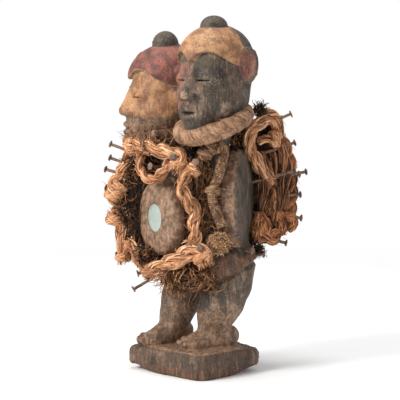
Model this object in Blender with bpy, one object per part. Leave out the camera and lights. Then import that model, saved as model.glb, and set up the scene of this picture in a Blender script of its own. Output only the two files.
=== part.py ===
"""Nail fetish figure: a two-headed power figure on a plinth, dressed with nails, raffia rope and medicine packs.

Metres, +Z up. The origin is the centre of the plinth's underside and the figure faces -Y, so its left is +X.
The carving is written in carver's units, about a millimetre each, measured up from the top of the plinth.
FIGURE_HEIGHT, from the soles to the topknot, sets how long a unit is. Sizes that can be set by themselves are in
metres, below.
"""
import math

import bmesh
import bpy
import numpy as np
from mathutils import Matrix, Vector
from mathutils.bvhtree import BVHTree

# Driving dimensions
FIGURE_HEIGHT = 0.4175
PLINTH_LENGTH = 0.139
PLINTH_DEPTH = 0.113
PLINTH_THICKNESS = 0.034
PLINTH_CORNER = 0.016
MIRROR_PACK_DIAMETER = 0.096
MIRROR_PACK_THICKNESS = 0.026
MIRROR_DIAMETER = 0.036
MIRROR_THICKNESS = 0.003
MIRROR_SUNK = 0.0012
PLAIN_PACK_DIAMETER = 0.127
PLAIN_PACK_THICKNESS = 0.032
NAIL_SHANK = 0.0044
NAIL_HEAD = 0.0092
NAIL_HEAD_THICKNESS = 0.0022
NAIL_BITE = 0.010
THICK_ROPE = 0.021
ROPE = 0.0165
THIN_ROPE = 0.0125
HANK = 0.029
TWINE_CORD = 0.0125
FRAYED_BUNDLE = 0.027
FIT = 0.0003
WELD = 0.000004
SHARP_EDGE = math.radians(40)

CARVING_STEP = 2.8
CARVING_TRIANGLES = 2500
DIAGONAL = math.sqrt(0.5)


def lengths(q):
    return np.sqrt(np.einsum("ij,ij->i", q, q))


def smooth_union(a, b, blend):
    """Two forms run together, with a fillet about as wide as blend."""
    overlap = np.maximum(blend - np.abs(a - b), 0.0) / blend
    return np.minimum(a, b) - overlap * overlap * blend / 4


def smooth_cut(a, b, blend):
    """Form a with form b carved out of it."""
    return -smooth_union(-a, b, blend)


def ellipsoid(p, centre, radii):
    radii = np.array(radii, np.float32)
    q = (p - np.array(centre, np.float32)) / radii
    near = lengths(q)
    slope = lengths(q / radii)
    return near * (near - 1.0) / np.maximum(slope, 1e-6)


def round_cone(p, start, end, start_radius, end_radius):
    """A limb between two balls of different radius."""
    start, end = np.array(start, np.float32), np.array(end, np.float32)
    axis = end - start
    q = p - start
    along = np.clip(q @ axis / (axis @ axis), 0.0, 1.0)
    return lengths(q - along[:, None] * axis) - (start_radius + along * (end_radius - start_radius))


def limb(p, stations, blend):
    """Balls (x, y, z, radius) joined in a chain."""
    form = None
    for a, b in zip(stations, stations[1:]):
        piece = round_cone(p, a[:3], b[:3], a[3], b[3])
        form = piece if form is None else smooth_union(form, piece, blend)
    return form


def disc(p, centre, facing, radius, half_thickness, rim, crown):
    """A round pack: facing is the way its axis points, and its faces swell by crown in the middle."""
    axis = np.array(facing, np.float32) / np.float32(np.linalg.norm(facing))
    q = p - np.array(centre, np.float32)
    along = q @ axis
    out = lengths(q - along[:, None] * axis)
    thick = half_thickness - crown * np.minimum(out / radius, 1.2) ** 2
    side = out - (radius - rim)
    face = np.abs(along) - (thick - rim)
    outside = np.hypot(np.maximum(side, 0), np.maximum(face, 0))
    return outside + np.minimum(np.maximum(side, face), 0) - rim


def smooth_step(low, high, value):
    share = np.clip((value - low) / (high - low), 0, 1)
    return share * share * (3 - 2 * share)


def plinth(p):
    """A rounded slab, worn thin at its right front and left back corners."""
    half = np.array([PLINTH_LENGTH, PLINTH_DEPTH], np.float32) / 2 / UNIT
    corner = PLINTH_CORNER / UNIT
    thickness = PLINTH_THICKNESS / UNIT
    side = np.abs(p[:, :2]) - (half - corner)
    outline = lengths(np.maximum(side, 0)) + np.minimum(side.max(axis=1), 0) - corner
    worn = smooth_step(0.45, 0.93, np.abs(p[:, 0] + p[:, 1]) / half.sum())
    top = p[:, 2] + 5.0 * worn
    underside = -p[:, 2] - thickness + 8.0 * worn
    slab = smooth_cut(outline, -top, 7.0)
    return smooth_cut(slab, -underside, 5.0)


def foot(p, heel, turn, length, width):
    """A flat foot from its heel towards its toes, turned from straight ahead."""
    sine, cosine = math.sin(turn), math.cos(turn)
    x = (p[:, 0] - heel[0]) * cosine + (p[:, 1] - heel[1]) * sine
    y = -(p[:, 0] - heel[0]) * sine + (p[:, 1] - heel[1]) * cosine
    q = np.stack([x, y, p[:, 2]], axis=1)
    form = ellipsoid(q, (0, -0.19 * length, 11), (0.46 * width, 0.19 * length, 14))
    instep = ellipsoid(q, (0, -0.46 * length, 9), (0.45 * width, 0.33 * length, 17))
    ball = ellipsoid(q, (0, -0.72 * length, 5), (0.51 * width, 0.2 * length, 12))
    form = smooth_union(smooth_union(form, instep, 8), ball, 6)
    for toe in range(5):
        across = (toe - 2) * 0.205 * width
        ahead = -0.87 * length + abs(toe - 2.0) * 1.6
        form = smooth_union(form, ellipsoid(q, (across, ahead, 5.0), (0.12 * width, 0.14 * length, 7.5)), 1.5)
    return form


def head_space(p, place, turn):
    """Points seen from a head: x to its left, y to its back, z up, from the middle of the head."""
    q = p - np.array(place, np.float32)
    sine, cosine = math.sin(turn), math.cos(turn)
    return np.stack([q[:, 0] * cosine + q[:, 1] * sine, -q[:, 0] * sine + q[:, 1] * cosine, q[:, 2]], axis=1)


def mirrored(p):
    """Points folded to the head's left, so that one side's carving serves both."""
    return np.stack([np.abs(p[:, 0]), p[:, 1], p[:, 2]], axis=1)


def cap_edge(across):
    """Height of the cap's lower edge: an arch over each eye, and a dip at the nose and the temples."""
    return 33.0 - 15.0 * ((across - 20.0) / 22.0) ** 2


def ear(s):
    """A tall ear standing off the head, hollowed on its front."""
    lean = math.radians(38)
    x = (s[:, 0] - 40.0) * math.cos(lean) + (s[:, 1] - 4.0) * math.sin(lean)
    y = -(s[:, 0] - 40.0) * math.sin(lean) + (s[:, 1] - 4.0) * math.cos(lean)
    q = np.stack([x, y, s[:, 2] - 14.0 - 0.12 * x], axis=1)
    shell = ellipsoid(q, (6, 0, 1), (15, 6.5, 23.5))
    return smooth_cut(shell, ellipsoid(q, (7.5, -7, 3), (9.0, 6.5, 16)), 2.0)


def head(p, knob_height):
    """One head in its own space: crown at z 66 and chin at -66, eyes midway and the nose a third of the way up."""
    s = mirrored(p)
    form = ellipsoid(p, (0, 7, 15), (44, 50, 51))
    form = smooth_union(form, ellipsoid(p, (0, -12, -20), (37.5, 38, 45.5)), 12)
    form = smooth_union(form, ellipsoid(s, (14, 2, -24), (27, 38, 31)), 12)
    cap = smooth_union(ellipsoid(p, (0, 5, 16), (45.5, 55, 50)), ellipsoid(p, (0, 3, 24), (43, 49, 40)), 6)
    below_edge = (cap_edge(s[:, 0]) + 0.35 * np.maximum(p[:, 1], 0) - p[:, 2]) * 0.8
    form = smooth_union(form, smooth_cut(cap, -below_edge, 2.0), 1.5)
    form = smooth_cut(form, ellipsoid(s, (20, -49, 12), (17.5, 9.5, 13.5)), 5)
    form = smooth_union(form, ellipsoid(s, (18.5, -34, 0), (12.5, 8.5, 7.5)), 4)
    nose = round_cone(p, (0, -40, 12), (0, -54, -19), 4.5, 7.5)
    nose = smooth_union(nose, ellipsoid(s, (8, -49, -21), (6.5, 8, 6)), 4)
    nose = smooth_cut(nose, p[:, 2] + 27 + 0.25 * (p[:, 1] + 50), 2)
    form = smooth_union(form, nose, 5)
    form = smooth_union(form, ellipsoid(p, (0, -41, -42), (21, 11, 14)), 9)
    form = smooth_union(form, round_cone(s, (0, -52.0, -36.5), (14.5, -44, -40.5), 3.9, 2.6), 2)
    form = smooth_union(form, round_cone(s, (0, -51.5, -46.5), (13.5, -43.5, -43), 4.2, 2.8), 2)
    form = smooth_cut(form, ellipsoid(p, (0, -54, -41.3), (12.5, 8.5, 2.0)), 1.0)
    form = smooth_union(form, ellipsoid(p, (0, -38, -58), (15, 11, 9.5)), 8)
    form = smooth_union(form, ear(s), 2.5)
    knob = ellipsoid(p, (0, 0, CROWN - KNOB_SUNK), (17, 17, knob_height + KNOB_SUNK))
    return smooth_union(form, knob, 1.0)


# Places and turns of the carved parts, in carver's units
CROWN = 66.0
KNOB_SUNK = 2.0
NEAR_HEAD = (49, -13, 340)
NEAR_HEAD_TURN = math.radians(6)
FAR_HEAD = (-52, 1, 316)
FAR_HEAD_TURN = math.radians(-30)
MIRROR_PACK = (-12.8, -42, 164)
MIRROR_PACK_FACING = (-0.259, -0.966, 0)
PLAIN_PACK = (45, 34, 187)
PLAIN_PACK_FACING = (0.839, 0.545, 0)
NEAR_LEG = ((45, 27, 106, 28), (46, 20, 80, 26), (42.5, 9, 58, 27), (36, 4, 40, 23), (31, 4, 26, 17.5), (31, 6, 12, 16))
FAR_LEG = ((-18, 9, 100, 27), (-22, 6, 70, 25), (-26, 2, 52, 24), (-30, -2, 33, 20), (-32, -3, 24, 17), (-33, -2, 10, 15))
NEAR_HEEL = (39.5, 40)
FAR_HEEL = (-34, 28)
FOOT_LENGTH = 84.0
FOOT_WIDTH = 33.0
NEAR_FOOT_TURN = math.radians(-15)
FAR_FOOT_TURN = math.radians(-2)
HEM_OVERHANG = 3.5
HEM_GROOVE = 3.0
TRUNK_BOTTOM = (13, 15, 100)
TRUNK_TOP = (0, 4, 230)
KNOB_ABOVE_NEAR_CROWN = 11.5
KNOB_ABOVE_FAR_CROWN = 16.5
HEAD_REACH = 90.0

# The whole figure in carver's units, and how long a unit is
CARVED_HEIGHT = NEAR_HEAD[2] + CROWN + KNOB_ABOVE_NEAR_CROWN
UNIT = FIGURE_HEIGHT / CARVED_HEIGHT


def above_hem(p):
    """Height above the lower edge of the hips, which climbs over the thigh towards the figure's left."""
    return p[:, 2] - 79 - 0.375 * np.maximum(p[:, 0] + p[:, 1] - 28, 0)


def trunk(p):
    """Hips that overhang the thighs, belly and shoulders."""
    hips = smooth_union(ellipsoid(p, (13, 14, 104), (59, 42, 34)), limb(p, NEAR_LEG, 6) - HEM_OVERHANG, 5)
    hips = smooth_cut(hips, above_hem(p), 2)
    belly = ellipsoid(p, (6, 8, 160), (43, 37, 78))
    shoulders = ellipsoid(p, (-3, 3, 221), (53, 35, 29))
    return smooth_union(smooth_union(hips, belly, 14), shoulders, 16)


def carving(p):
    """Distance outside the whole carved block, in carver's units."""
    form = smooth_union(limb(p, NEAR_LEG, 6), foot(p, NEAR_HEEL, NEAR_FOOT_TURN, FOOT_LENGTH, FOOT_WIDTH), 5)
    far_leg = smooth_union(limb(p, FAR_LEG, 6), foot(p, FAR_HEEL, FAR_FOOT_TURN, FOOT_LENGTH, FOOT_WIDTH), 5)
    form = smooth_union(np.minimum(form, far_leg), trunk(p), 1.5)
    form = form + HEM_GROOVE * np.clip(1 - np.abs(above_hem(p) + 1.5) / 5, 0, 1)
    form = smooth_union(form, plinth(p), 1.2)
    form = smooth_union(form, round_cone(p, (20, 0, 232), (45, -6, 296), 27, 23), 8)
    form = smooth_union(form, round_cone(p, (-22, 2, 226), (-45, 4, 270), 26, 23), 8)
    for place, facing, diameter, thickness, rim, crown in (
        (MIRROR_PACK, MIRROR_PACK_FACING, MIRROR_PACK_DIAMETER, MIRROR_PACK_THICKNESS, 9.5, 1.0),
        (PLAIN_PACK, PLAIN_PACK_FACING, PLAIN_PACK_DIAMETER, PLAIN_PACK_THICKNESS, 10.5, 3.5),
    ):
        radius, half_thickness = diameter / 2 / UNIT, thickness / 2 / UNIT
        inward = -np.array(facing)
        neck = round_cone(p, place + inward * (half_thickness + 17), place + inward * (half_thickness + 34), 27, 32)
        form = smooth_union(form, neck, 8)
        rim = min(rim, half_thickness - crown - 1)
        form = smooth_union(form, disc(p, place, facing, radius, half_thickness, rim, crown), 4)
    for place, turn, knob in (
        (NEAR_HEAD, NEAR_HEAD_TURN, KNOB_ABOVE_NEAR_CROWN),
        (FAR_HEAD, FAR_HEAD_TURN, KNOB_ABOVE_FAR_CROWN),
    ):
        near = lengths(p - np.array(place, np.float32)) < HEAD_REACH
        form[near] = smooth_union(form[near], head(head_space(p[near], place, turn), knob), 3)
    return form


def form_bounds(field, size):
    """Low and high corners of a box that holds the form, found on a wide and coarse grid."""
    step = size / 40
    sideways = np.arange(-0.45 * size, 0.45 * size, step, dtype=np.float32)
    upwards = np.arange(-0.25 * size, 1.25 * size, step, dtype=np.float32)
    grid = np.stack(np.meshgrid(sideways, sideways, upwards, indexing="ij"), axis=-1).reshape(-1, 3)
    close = grid[field(grid) < 1.8 * step]
    return close.min(axis=0) - step / 2, close.max(axis=0) + step / 2


def field_near_surface(field, grid, step):
    """The field on a grid: exact near its surface, and a coarser value elsewhere, where only the sign counts."""
    coarse = grid[::2, ::2, ::2]
    values = field(coarse.reshape(-1, 3)).reshape(coarse.shape[:3])
    for axis in range(3):
        values = np.repeat(values, 2, axis=axis)
    values = values[:grid.shape[0], :grid.shape[1], :grid.shape[2]].copy()
    near = np.abs(values) < 4 * step
    values[near] = field(grid[near])
    return values


def surface_net(field, low, high, step):
    """Corners and quads of the closed surface where the field is zero, one corner in each crossed cell."""
    axes = [np.arange(low[i], high[i] + step, step, dtype=np.float32) for i in range(3)]
    grid = np.stack(np.meshgrid(*axes, indexing="ij"), axis=-1)
    values = field_near_surface(field, grid, step)
    inside = values < 0
    shape = np.array(values.shape) - 1
    total = int(shape.prod())
    sums = np.zeros((total, 3))
    counts = np.zeros(total)
    quads = []
    for axis in range(3):
        lower = [slice(None)] * 3
        upper = [slice(None)] * 3
        lower[axis] = slice(None, -1)
        upper[axis] = slice(1, None)
        crossed = inside[tuple(lower)] != inside[tuple(upper)]
        edge = np.argwhere(crossed)
        a = values[tuple(lower)][crossed]
        b = values[tuple(upper)][crossed]
        point = grid[tuple(lower)][crossed].astype(float)
        point[:, axis] += step * a / (a - b)
        first, second = (axis + 1) % 3, (axis + 2) % 3
        corners = []
        for shift in ((0, 0), (1, 0), (1, 1), (0, 1)):
            cell = edge.copy()
            cell[:, first] -= shift[0]
            cell[:, second] -= shift[1]
            corners.append(np.ravel_multi_index(cell.T, shape))
        for corner in corners:
            counts += np.bincount(corner, minlength=total)
            for part in range(3):
                sums[:, part] += np.bincount(corner, weights=point[:, part], minlength=total)
        ring = np.stack(corners, axis=1)
        leaving = inside[tuple(lower)][crossed]
        ring[leaving] = ring[leaving][:, ::-1]
        quads.append(ring)
    used = np.flatnonzero(counts)
    number = np.full(total, -1)
    number[used] = np.arange(len(used))
    return sums[used] / counts[used, None], number[np.concatenate(quads)]


def evaluated_mesh(obj):
    """The object's mesh with its modifiers worked in."""
    graph = bpy.context.evaluated_depsgraph_get()
    graph.update()
    return bpy.data.meshes.new_from_object(obj.evaluated_get(graph))


def work_in(obj):
    """Replaces the object's mesh by its evaluated one and clears its modifiers."""
    mesh = evaluated_mesh(obj)
    obj.modifiers.clear()
    obj.data = mesh


def new_object(name, mesh, material):
    obj = bpy.data.objects.new(name, mesh)
    bpy.context.collection.objects.link(obj)
    mesh.materials.clear()
    mesh.materials.append(material)
    return obj


def mesh_from_bmesh(name, bm):
    """A mesh of flat facets, so that a later cut can't bend them."""
    bmesh.ops.recalc_face_normals(bm, faces=bm.faces)
    bmesh.ops.triangulate(bm, faces=bm.faces)
    mesh = bpy.data.meshes.new(name)
    bm.to_mesh(mesh)
    bm.free()
    return mesh


def principled(name, colour, roughness, metallic=0.0):
    material = bpy.data.materials.new(name)
    material.use_nodes = True
    shader = material.node_tree.nodes["Principled BSDF"]
    shader.inputs["Base Color"].default_value = (*colour, 1.0)
    shader.inputs["Roughness"].default_value = roughness
    shader.inputs["Metallic"].default_value = metallic
    return material


def grown_copy(obj, clearance):
    """A copy of a closed mesh whose every face lies clearance further out."""
    bm = bmesh.new()
    bm.from_mesh(obj.data)
    bmesh.ops.triangulate(bm, faces=bm.faces)
    bm.normal_update()
    moves = [vertex.normal * clearance * min(vertex.calc_shell_factor(), 2.0) for vertex in bm.verts]
    for vertex, move in zip(bm.verts, moves):
        vertex.co += move
    mesh = bpy.data.meshes.new(obj.name + "_cutter")
    bm.to_mesh(mesh)
    bm.free()
    copy = bpy.data.objects.new(obj.name + "_cutter", mesh)
    bpy.context.collection.objects.link(copy)
    return copy


def mesh_tree(obj):
    mesh = obj.data
    corners = [vertex.co.copy() for vertex in mesh.vertices]
    return BVHTree.FromPolygons(corners, [tuple(face.vertices) for face in mesh.polygons])


class Neighbour:
    """A finished piece, with the cutter and the search tree that later pieces are fitted to."""

    def __init__(self, obj):
        self.obj = obj
        self.cutter = grown_copy(obj, FIT)
        self.tree = mesh_tree(self.cutter)


def keep_main_body(obj):
    """Drops the crumbs that a cut leaves beside the main body."""
    bm = bmesh.new()
    bm.from_mesh(obj.data)
    bodies = []
    seen = set()
    for start in bm.faces:
        if start in seen:
            continue
        seen.add(start)
        body, front = [], [start]
        while front:
            face = front.pop()
            body.append(face)
            for edge in face.edges:
                for other in edge.link_faces:
                    if other not in seen:
                        seen.add(other)
                        front.append(other)
        bodies.append(body)
    bodies.sort(key=lambda body: sum(face.calc_area() for face in body))
    crumbs = [face for body in bodies[:-1] for face in body]
    bmesh.ops.delete(bm, geom=crumbs, context="FACES")
    bm.to_mesh(obj.data)
    bm.free()


def cut_by(obj, neighbours):
    """Carves the neighbours out of an object, with the fit's gap round them."""
    own_tree = mesh_tree(obj)
    touching = [neighbour for neighbour in neighbours if neighbour.tree.overlap(own_tree)]
    if not touching:
        return
    cutters = bpy.data.collections.new(obj.name + "_cutters")
    for neighbour in touching:
        cutters.objects.link(neighbour.cutter)
    modifier = obj.modifiers.new("cut", "BOOLEAN")
    modifier.operation = "DIFFERENCE"
    modifier.operand_type = "COLLECTION"
    modifier.collection = cutters
    work_in(obj)
    keep_main_body(obj)
    tidy_mesh(obj)
    bpy.data.collections.remove(cutters)


def tidy_mesh(obj):
    """Welds the hair-thin faces that a cut can leave."""
    bm = bmesh.new()
    bm.from_mesh(obj.data)
    bmesh.ops.triangulate(bm, faces=bm.faces)
    bmesh.ops.remove_doubles(bm, verts=bm.verts, dist=WELD)
    bmesh.ops.dissolve_degenerate(bm, edges=bm.edges, dist=WELD)
    bmesh.ops.triangulate(bm, faces=bm.faces)
    bm.to_mesh(obj.data)
    bm.free()


def to_metres(point):
    """A place in the carving, in metres."""
    return Vector(point) * UNIT + Vector((0, 0, PLINTH_THICKNESS))


def corner_view(across, out, up):
    """A place seen from the figure's left front corner: across to the right, out towards the eye, up from the soles."""
    return to_metres((DIAGONAL * (across + out), DIAGONAL * (across - out), up))


def build_figure(material):
    """The carved block: plinth, legs, trunk, packs and both heads."""
    low, high = form_bounds(carving, CARVED_HEIGHT)
    points, quads = surface_net(carving, low, high, CARVING_STEP)
    points = points * UNIT + (0, 0, PLINTH_THICKNESS)
    mesh = bpy.data.meshes.new("carved_figure")
    mesh.from_pydata(points.tolist(), [], quads.tolist())
    figure = new_object("carved_figure", mesh, material)
    skin = figure.modifiers.new("skin", "REMESH")
    skin.mode = "VOXEL"
    skin.voxel_size = CARVING_STEP * UNIT
    work_in(figure)
    thinner = figure.modifiers.new("facets", "DECIMATE")
    thinner.ratio = CARVING_TRIANGLES / (2 * len(figure.data.polygons))
    work_in(figure)
    for vertex in figure.data.vertices:
        if vertex.co.z < CARVING_STEP * UNIT / 6:
            vertex.co.z = 0.0
    return figure


def frame_along(direction):
    """A turn that carries +Z to the direction."""
    return Vector(direction).to_track_quat("Z", "Y").to_matrix().to_4x4()


def turned_piece(name, profile, sides, matrix, material):
    """A closed solid turned about local Z from (radius, height) pairs listed upwards."""
    bm = bmesh.new()
    rings = []
    for radius, height in profile:
        ring = []
        for step in range(sides):
            angle = math.tau * step / sides
            ring.append(bm.verts.new((radius * math.cos(angle), radius * math.sin(angle), height)))
        rings.append(ring)
    close_rings(bm, rings)
    bmesh.ops.transform(bm, matrix=matrix, verts=bm.verts)
    return new_object(name, mesh_from_bmesh(name, bm), material)


def close_rings(bm, rings):
    """Skins a stack of rings and caps both ends."""
    for lower, upper in zip(rings, rings[1:]):
        count = len(lower)
        for step in range(count):
            following = (step + 1) % count
            bm.faces.new((lower[step], lower[following], upper[following], upper[step]))
    bm.faces.new(rings[0][::-1])
    bm.faces.new(rings[-1])


def build_mirror(figure, material):
    """The little mirror, and the seat cut for it in the front pack."""
    facing = Vector(MIRROR_PACK_FACING).normalized()
    front = to_metres(MIRROR_PACK) + facing * MIRROR_PACK_THICKNESS / 2
    back = front - facing * (MIRROR_SUNK + MIRROR_THICKNESS)
    place = Matrix.Translation(back) @ frame_along(facing)
    radius = MIRROR_DIAMETER / 2
    bevel = MIRROR_THICKNESS / 5
    profile = ((radius, 0), (radius, MIRROR_THICKNESS - bevel), (radius - bevel, MIRROR_THICKNESS))
    mirror = turned_piece("mirror_glass", profile, 18, place, material)
    seat_profile = ((radius + FIT, -FIT), (radius + FIT, MIRROR_THICKNESS + 0.006))
    seat = turned_piece("mirror_seat", seat_profile, 18, place, material)
    subtract(figure, seat)
    return mirror


def subtract(obj, tool):
    """Cuts one tool out of an object and removes the tool."""
    modifier = obj.modifiers.new("cut", "BOOLEAN")
    modifier.operation = "DIFFERENCE"
    modifier.object = tool
    work_in(obj)
    bpy.data.objects.remove(tool)
    tidy_mesh(obj)


def trunk_axis(up):
    """The middle of the trunk at a height above the soles."""
    share = (up - TRUNK_BOTTOM[2]) / (TRUNK_TOP[2] - TRUNK_BOTTOM[2])
    return [a + share * (b - a) for a, b in zip(TRUNK_BOTTOM, TRUNK_TOP)]


# Each nail's head, as across, out and up in the corner view, and how far its head rises above its aim on the
# trunk's axis
NAILS = {
    "nail_left_1": (-108, -28, 254, 40),
    "nail_left_2": (-109, -34, 236, 38),
    "nail_left_3": (-115, -38, 221, 34),
    "nail_left_4": (-115, -46, 196, 24),
    "nail_left_5": (-114, -46, 154, -6),
    "nail_left_6": (-101, -34, 109, -16),
    "nail_left_7": (-84, -50, 140, -4),
    "nail_front_1": (-76, 14, 252, 22),
    "nail_front_2": (-55, 46, 231, 12),
    "nail_front_3": (-25, 74, 245, 22),
    "nail_front_4": (3, 84, 239, 16),
    "nail_front_5": (-72, 12, 91, -24),
    "nail_front_6": (-77, 22, 72, -52),
    "nail_front_7": (8, 82, 131, 8),
    "nail_right_1": (125, -8, 294, 54),
    "nail_right_2": (131, -26, 256, 40),
    "nail_right_3": (146, -30, 218, 24),
    "nail_right_4": (131, -10, 221, 32),
    "nail_right_5": (138, -48, 214, 20),
    "nail_right_6": (139, -34, 188, 4),
    "nail_right_7": (140, -28, 158, -18),
    "nail_right_8": (120, -14, 127, -26),
    "nail_right_9": (75, 42, 124, 4),
    "nail_right_10": (90, 20, 117, 2),
    "nail_back_1": (84, -92, 236, 26),
    "nail_back_2": (62, -106, 190, 10),
    "nail_back_3": (88, -84, 150, -10),
    "nail_back_4": (26, -112, 222, 22),
    "nail_back_5": (18, -110, 160, 0),
    "nail_back_6": (-30, -104, 240, 26),
    "nail_back_7": (-42, -100, 188, 8),
    "nail_back_8": (-50, -92, 132, -12),
}


def build_nails(figure, material):
    """Every nail, driven NAIL_BITE into the wood that its line meets first, and its hole in the carving."""
    tree = mesh_tree(figure)
    nails = []
    for name, (across, out, up, rise) in NAILS.items():
        tip_of_head = corner_view(across, out, up)
        aim = to_metres(trunk_axis(up - rise))
        inward = (aim - tip_of_head).normalized()
        wood = tree.ray_cast(tip_of_head, inward)[0]
        length = (wood - tip_of_head).length + NAIL_BITE
        shank, head = NAIL_SHANK / 2, NAIL_HEAD / 2
        profile = (
            (shank * 0.55, 0), (shank, length - NAIL_HEAD_THICKNESS),
            (head, length - NAIL_HEAD_THICKNESS), (head * 0.8, length))
        place = Matrix.Translation(tip_of_head + inward * length) @ frame_along(-inward)
        nails.append(Neighbour(turned_piece(name, profile, 6, place, material)))
    cut_by(figure, nails)
    return nails


def smooth_route(points, spacing):
    """Points spaced along a smooth curve through the route's own points."""
    curve = []
    padded = [points[0] * 2 - points[1]] + list(points) + [points[-1] * 2 - points[-2]]
    for before, start, end, after in zip(padded, padded[1:], padded[2:], padded[3:]):
        count = max(1, round((end - start).length / spacing))
        for step in range(count):
            t = step / count
            curve.append(0.5 * (
                2 * start + (end - before) * t + (2 * before - 5 * start + 4 * end - after) * t * t
                + (3 * start - before - 3 * end + after) * t ** 3))
    curve.append(points[-1].copy())
    return curve


def twisted_rope(name, points, diameter, material, flare=1.0, plies=3):
    """A rope of a few plies along a route: a lobed section that turns as it goes, flared at its cut end."""
    route = smooth_route([Vector(point) for point in points], 0.95 * diameter)
    bm = bmesh.new()
    rings = []
    side = (route[1] - route[0]).orthogonal().normalized()
    for number, point in enumerate(route):
        ahead = (route[min(number + 1, len(route) - 1)] - route[max(number - 1, 0)]).normalized()
        side = (side - ahead * side.dot(ahead)).normalized()
        other = ahead.cross(side)
        end = number == len(route) - 1
        start = number == 0
        swell = flare if end else (0.8 if start else 1.0)
        ring = []
        for step in range(2 * plies):
            angle = math.tau * step / (2 * plies) + 0.55 * number
            radius = diameter / 2 * (1.0 if step % 2 == 0 else 0.84) * swell
            offset = side * math.cos(angle) * radius + other * math.sin(angle) * radius
            ring.append(bm.verts.new(point + offset))
        rings.append(ring)
    close_rings(bm, rings)
    return new_object(name, mesh_from_bmesh(name, bm), material)


# Routes of the ropes, as across, out and up in the corner view
ROPE_ROUTES = {
    "rope_top": (THICK_ROPE, 1.25, (
        (-82, -2, 254), (-70, 16, 254), (-55, 34, 253), (-36, 50, 250), (-20, 61, 246), (-14, 68, 236), (-19, 72, 227))),
    "rope_loop": (THIN_ROPE, 1.0, (
        (-66, 26, 243), (-67, 32, 230), (-61, 40, 218), (-50, 46, 214), (-39, 54, 222), (-32, 61, 234))),
    "rope_left_upper": (ROPE, 1.3, (
        (-80, -12, 243), (-87, -15, 228), (-96, -20, 213), (-104, -26, 199), (-103, -30, 186), (-95, -30, 177))),
    "rope_left_side": (ROPE, 1.15, (
        (-106, -34, 166), (-97, -30, 158), (-93, -26, 146), (-93, -23, 132), (-90, -20, 118), (-88, -19, 104))),
    "rope_lower_left": (ROPE, 1.0, (
        (-83, -10, 131), (-77, -4, 120), (-70, 4, 110), (-62, 12, 100), (-54, 22, 92))),
    "rope_bottom": (THICK_ROPE, 1.05, (
        (-58, 34, 94), (-46, 43, 101), (-32, 53, 109), (-16, 63, 119), (0, 71, 127), (11, 75, 124), (15, 76, 112))),
    "rope_middle": (ROPE, 1.0, (
        (2, 72, 228), (-8, 77, 222), (-15, 78, 210), (-12, 76, 198), (-3, 72, 185), (4, 68, 172), (0, 68, 159),
        (3, 69, 146), (-4, 70, 135))),
    "twine_cord": (TWINE_CORD, 1.0, (
        (11, 66, 240), (17, 66, 251), (28, 64, 257), (37, 60, 253), (36, 64, 240), (31, 70, 222), (24, 73, 203),
        (24, 73, 189), (29, 72, 174), (35, 71, 158))),
    "rope_right_curl": (ROPE, 1.1, (
        (108, -16, 266), (107, -12, 280), (96, -2, 289), (83, 8, 281), (73, 14, 269), (73, 12, 256), (79, 4, 238),
        (89, -6, 221), (99, -14, 205))),
    "rope_right_outer": (ROPE, 1.2, (
        (112, -28, 262), (119, -30, 246), (124, -33, 228), (127, -35, 208), (127, -36, 188), (125, -35, 170),
        (120, -32, 156))),
    "raffia_hank_right": (HANK, 1.1, (
        (92, -34, 258), (100, -36, 238), (106, -38, 214), (107, -38, 190), (103, -34, 166), (96, -30, 146))),
    "rope_right_lower": (THICK_ROPE, 1.1, (
        (80, 6, 150), (84, 2, 140), (93, -6, 134), (104, -14, 136), (112, -22, 144))),
    "rope_back_upper": (ROPE, 1.1, (
        (92, -66, 240), (70, -80, 226), (44, -88, 216), (14, -90, 214), (-16, -86, 220), (-46, -78, 228),
        (-70, -62, 234))),
    "rope_back_lower": (ROPE, 1.1, (
        (96, -58, 168), (70, -76, 156), (40, -86, 150), (8, -88, 152), (-24, -84, 154), (-54, -74, 150),
        (-78, -54, 146))),
}


def build_ropes(material, twine):
    ropes = []
    for name, (diameter, flare, route) in ROPE_ROUTES.items():
        points = [corner_view(*point) for point in route]
        look = twine if name == "twine_cord" else material
        ropes.append(twisted_rope(name, points, diameter, look, flare))
    return ropes


# Collars, as a middle in the corner view, the radius of the ring's own middle line, its thickness, how far it
# tips and the way its low side points, counted from the figure's left
NECK_RINGS = {
    "neck_ring_near": ((25.6, 44, 285), 41.3, 22.0, math.radians(22.3), math.radians(-97)),
    "neck_ring_far": ((-40, -33, 262), 37.0, 27.0, math.radians(8), math.radians(-110)),
}


def neck_ring(name, centre, radius, thickness, tilt, turn, material):
    """A wrapped collar round a neck."""
    tube = thickness / 2 * UNIT
    bm = bmesh.new()
    around, section = 14, 6
    rings = []
    for step in range(around):
        angle = math.tau * step / around
        ring = []
        for corner in range(section):
            spin = math.tau * corner / section
            out = radius * UNIT + tube * math.cos(spin)
            ring.append(bm.verts.new((out * math.cos(angle), out * math.sin(angle), tube * math.sin(spin))))
        rings.append(ring)
    for lower, upper in zip(rings, rings[1:] + rings[:1]):
        for corner in range(section):
            following = (corner + 1) % section
            bm.faces.new((lower[corner], lower[following], upper[following], upper[corner]))
    low_side = Vector((math.cos(turn), math.sin(turn), 0))
    level = Matrix.Rotation(tilt, 4, Vector((0, 0, 1)).cross(low_side))
    bmesh.ops.transform(bm, matrix=Matrix.Translation(corner_view(*centre)) @ level, verts=bm.verts)
    return new_object(name, mesh_from_bmesh(name, bm), material)


# Lumps of packed fibre, as a middle in the corner view and half sizes across, out and up
FIBRE_PACKS = {
    "fibre_pack_chest": ((8, 46, 196), (17, 18, 52)),
    "fibre_pack_belly": ((-5, 38, 90), (30, 28, 24)),
    "fibre_pack_right_flank": ((-60, -24, 180), (30, 22, 68)),
    "fibre_pack_left_flank": ((76, -36, 212), (30, 21, 60)),
    "fibre_pack_back": ((14, -58, 186), (46, 24, 48)),
}


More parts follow.
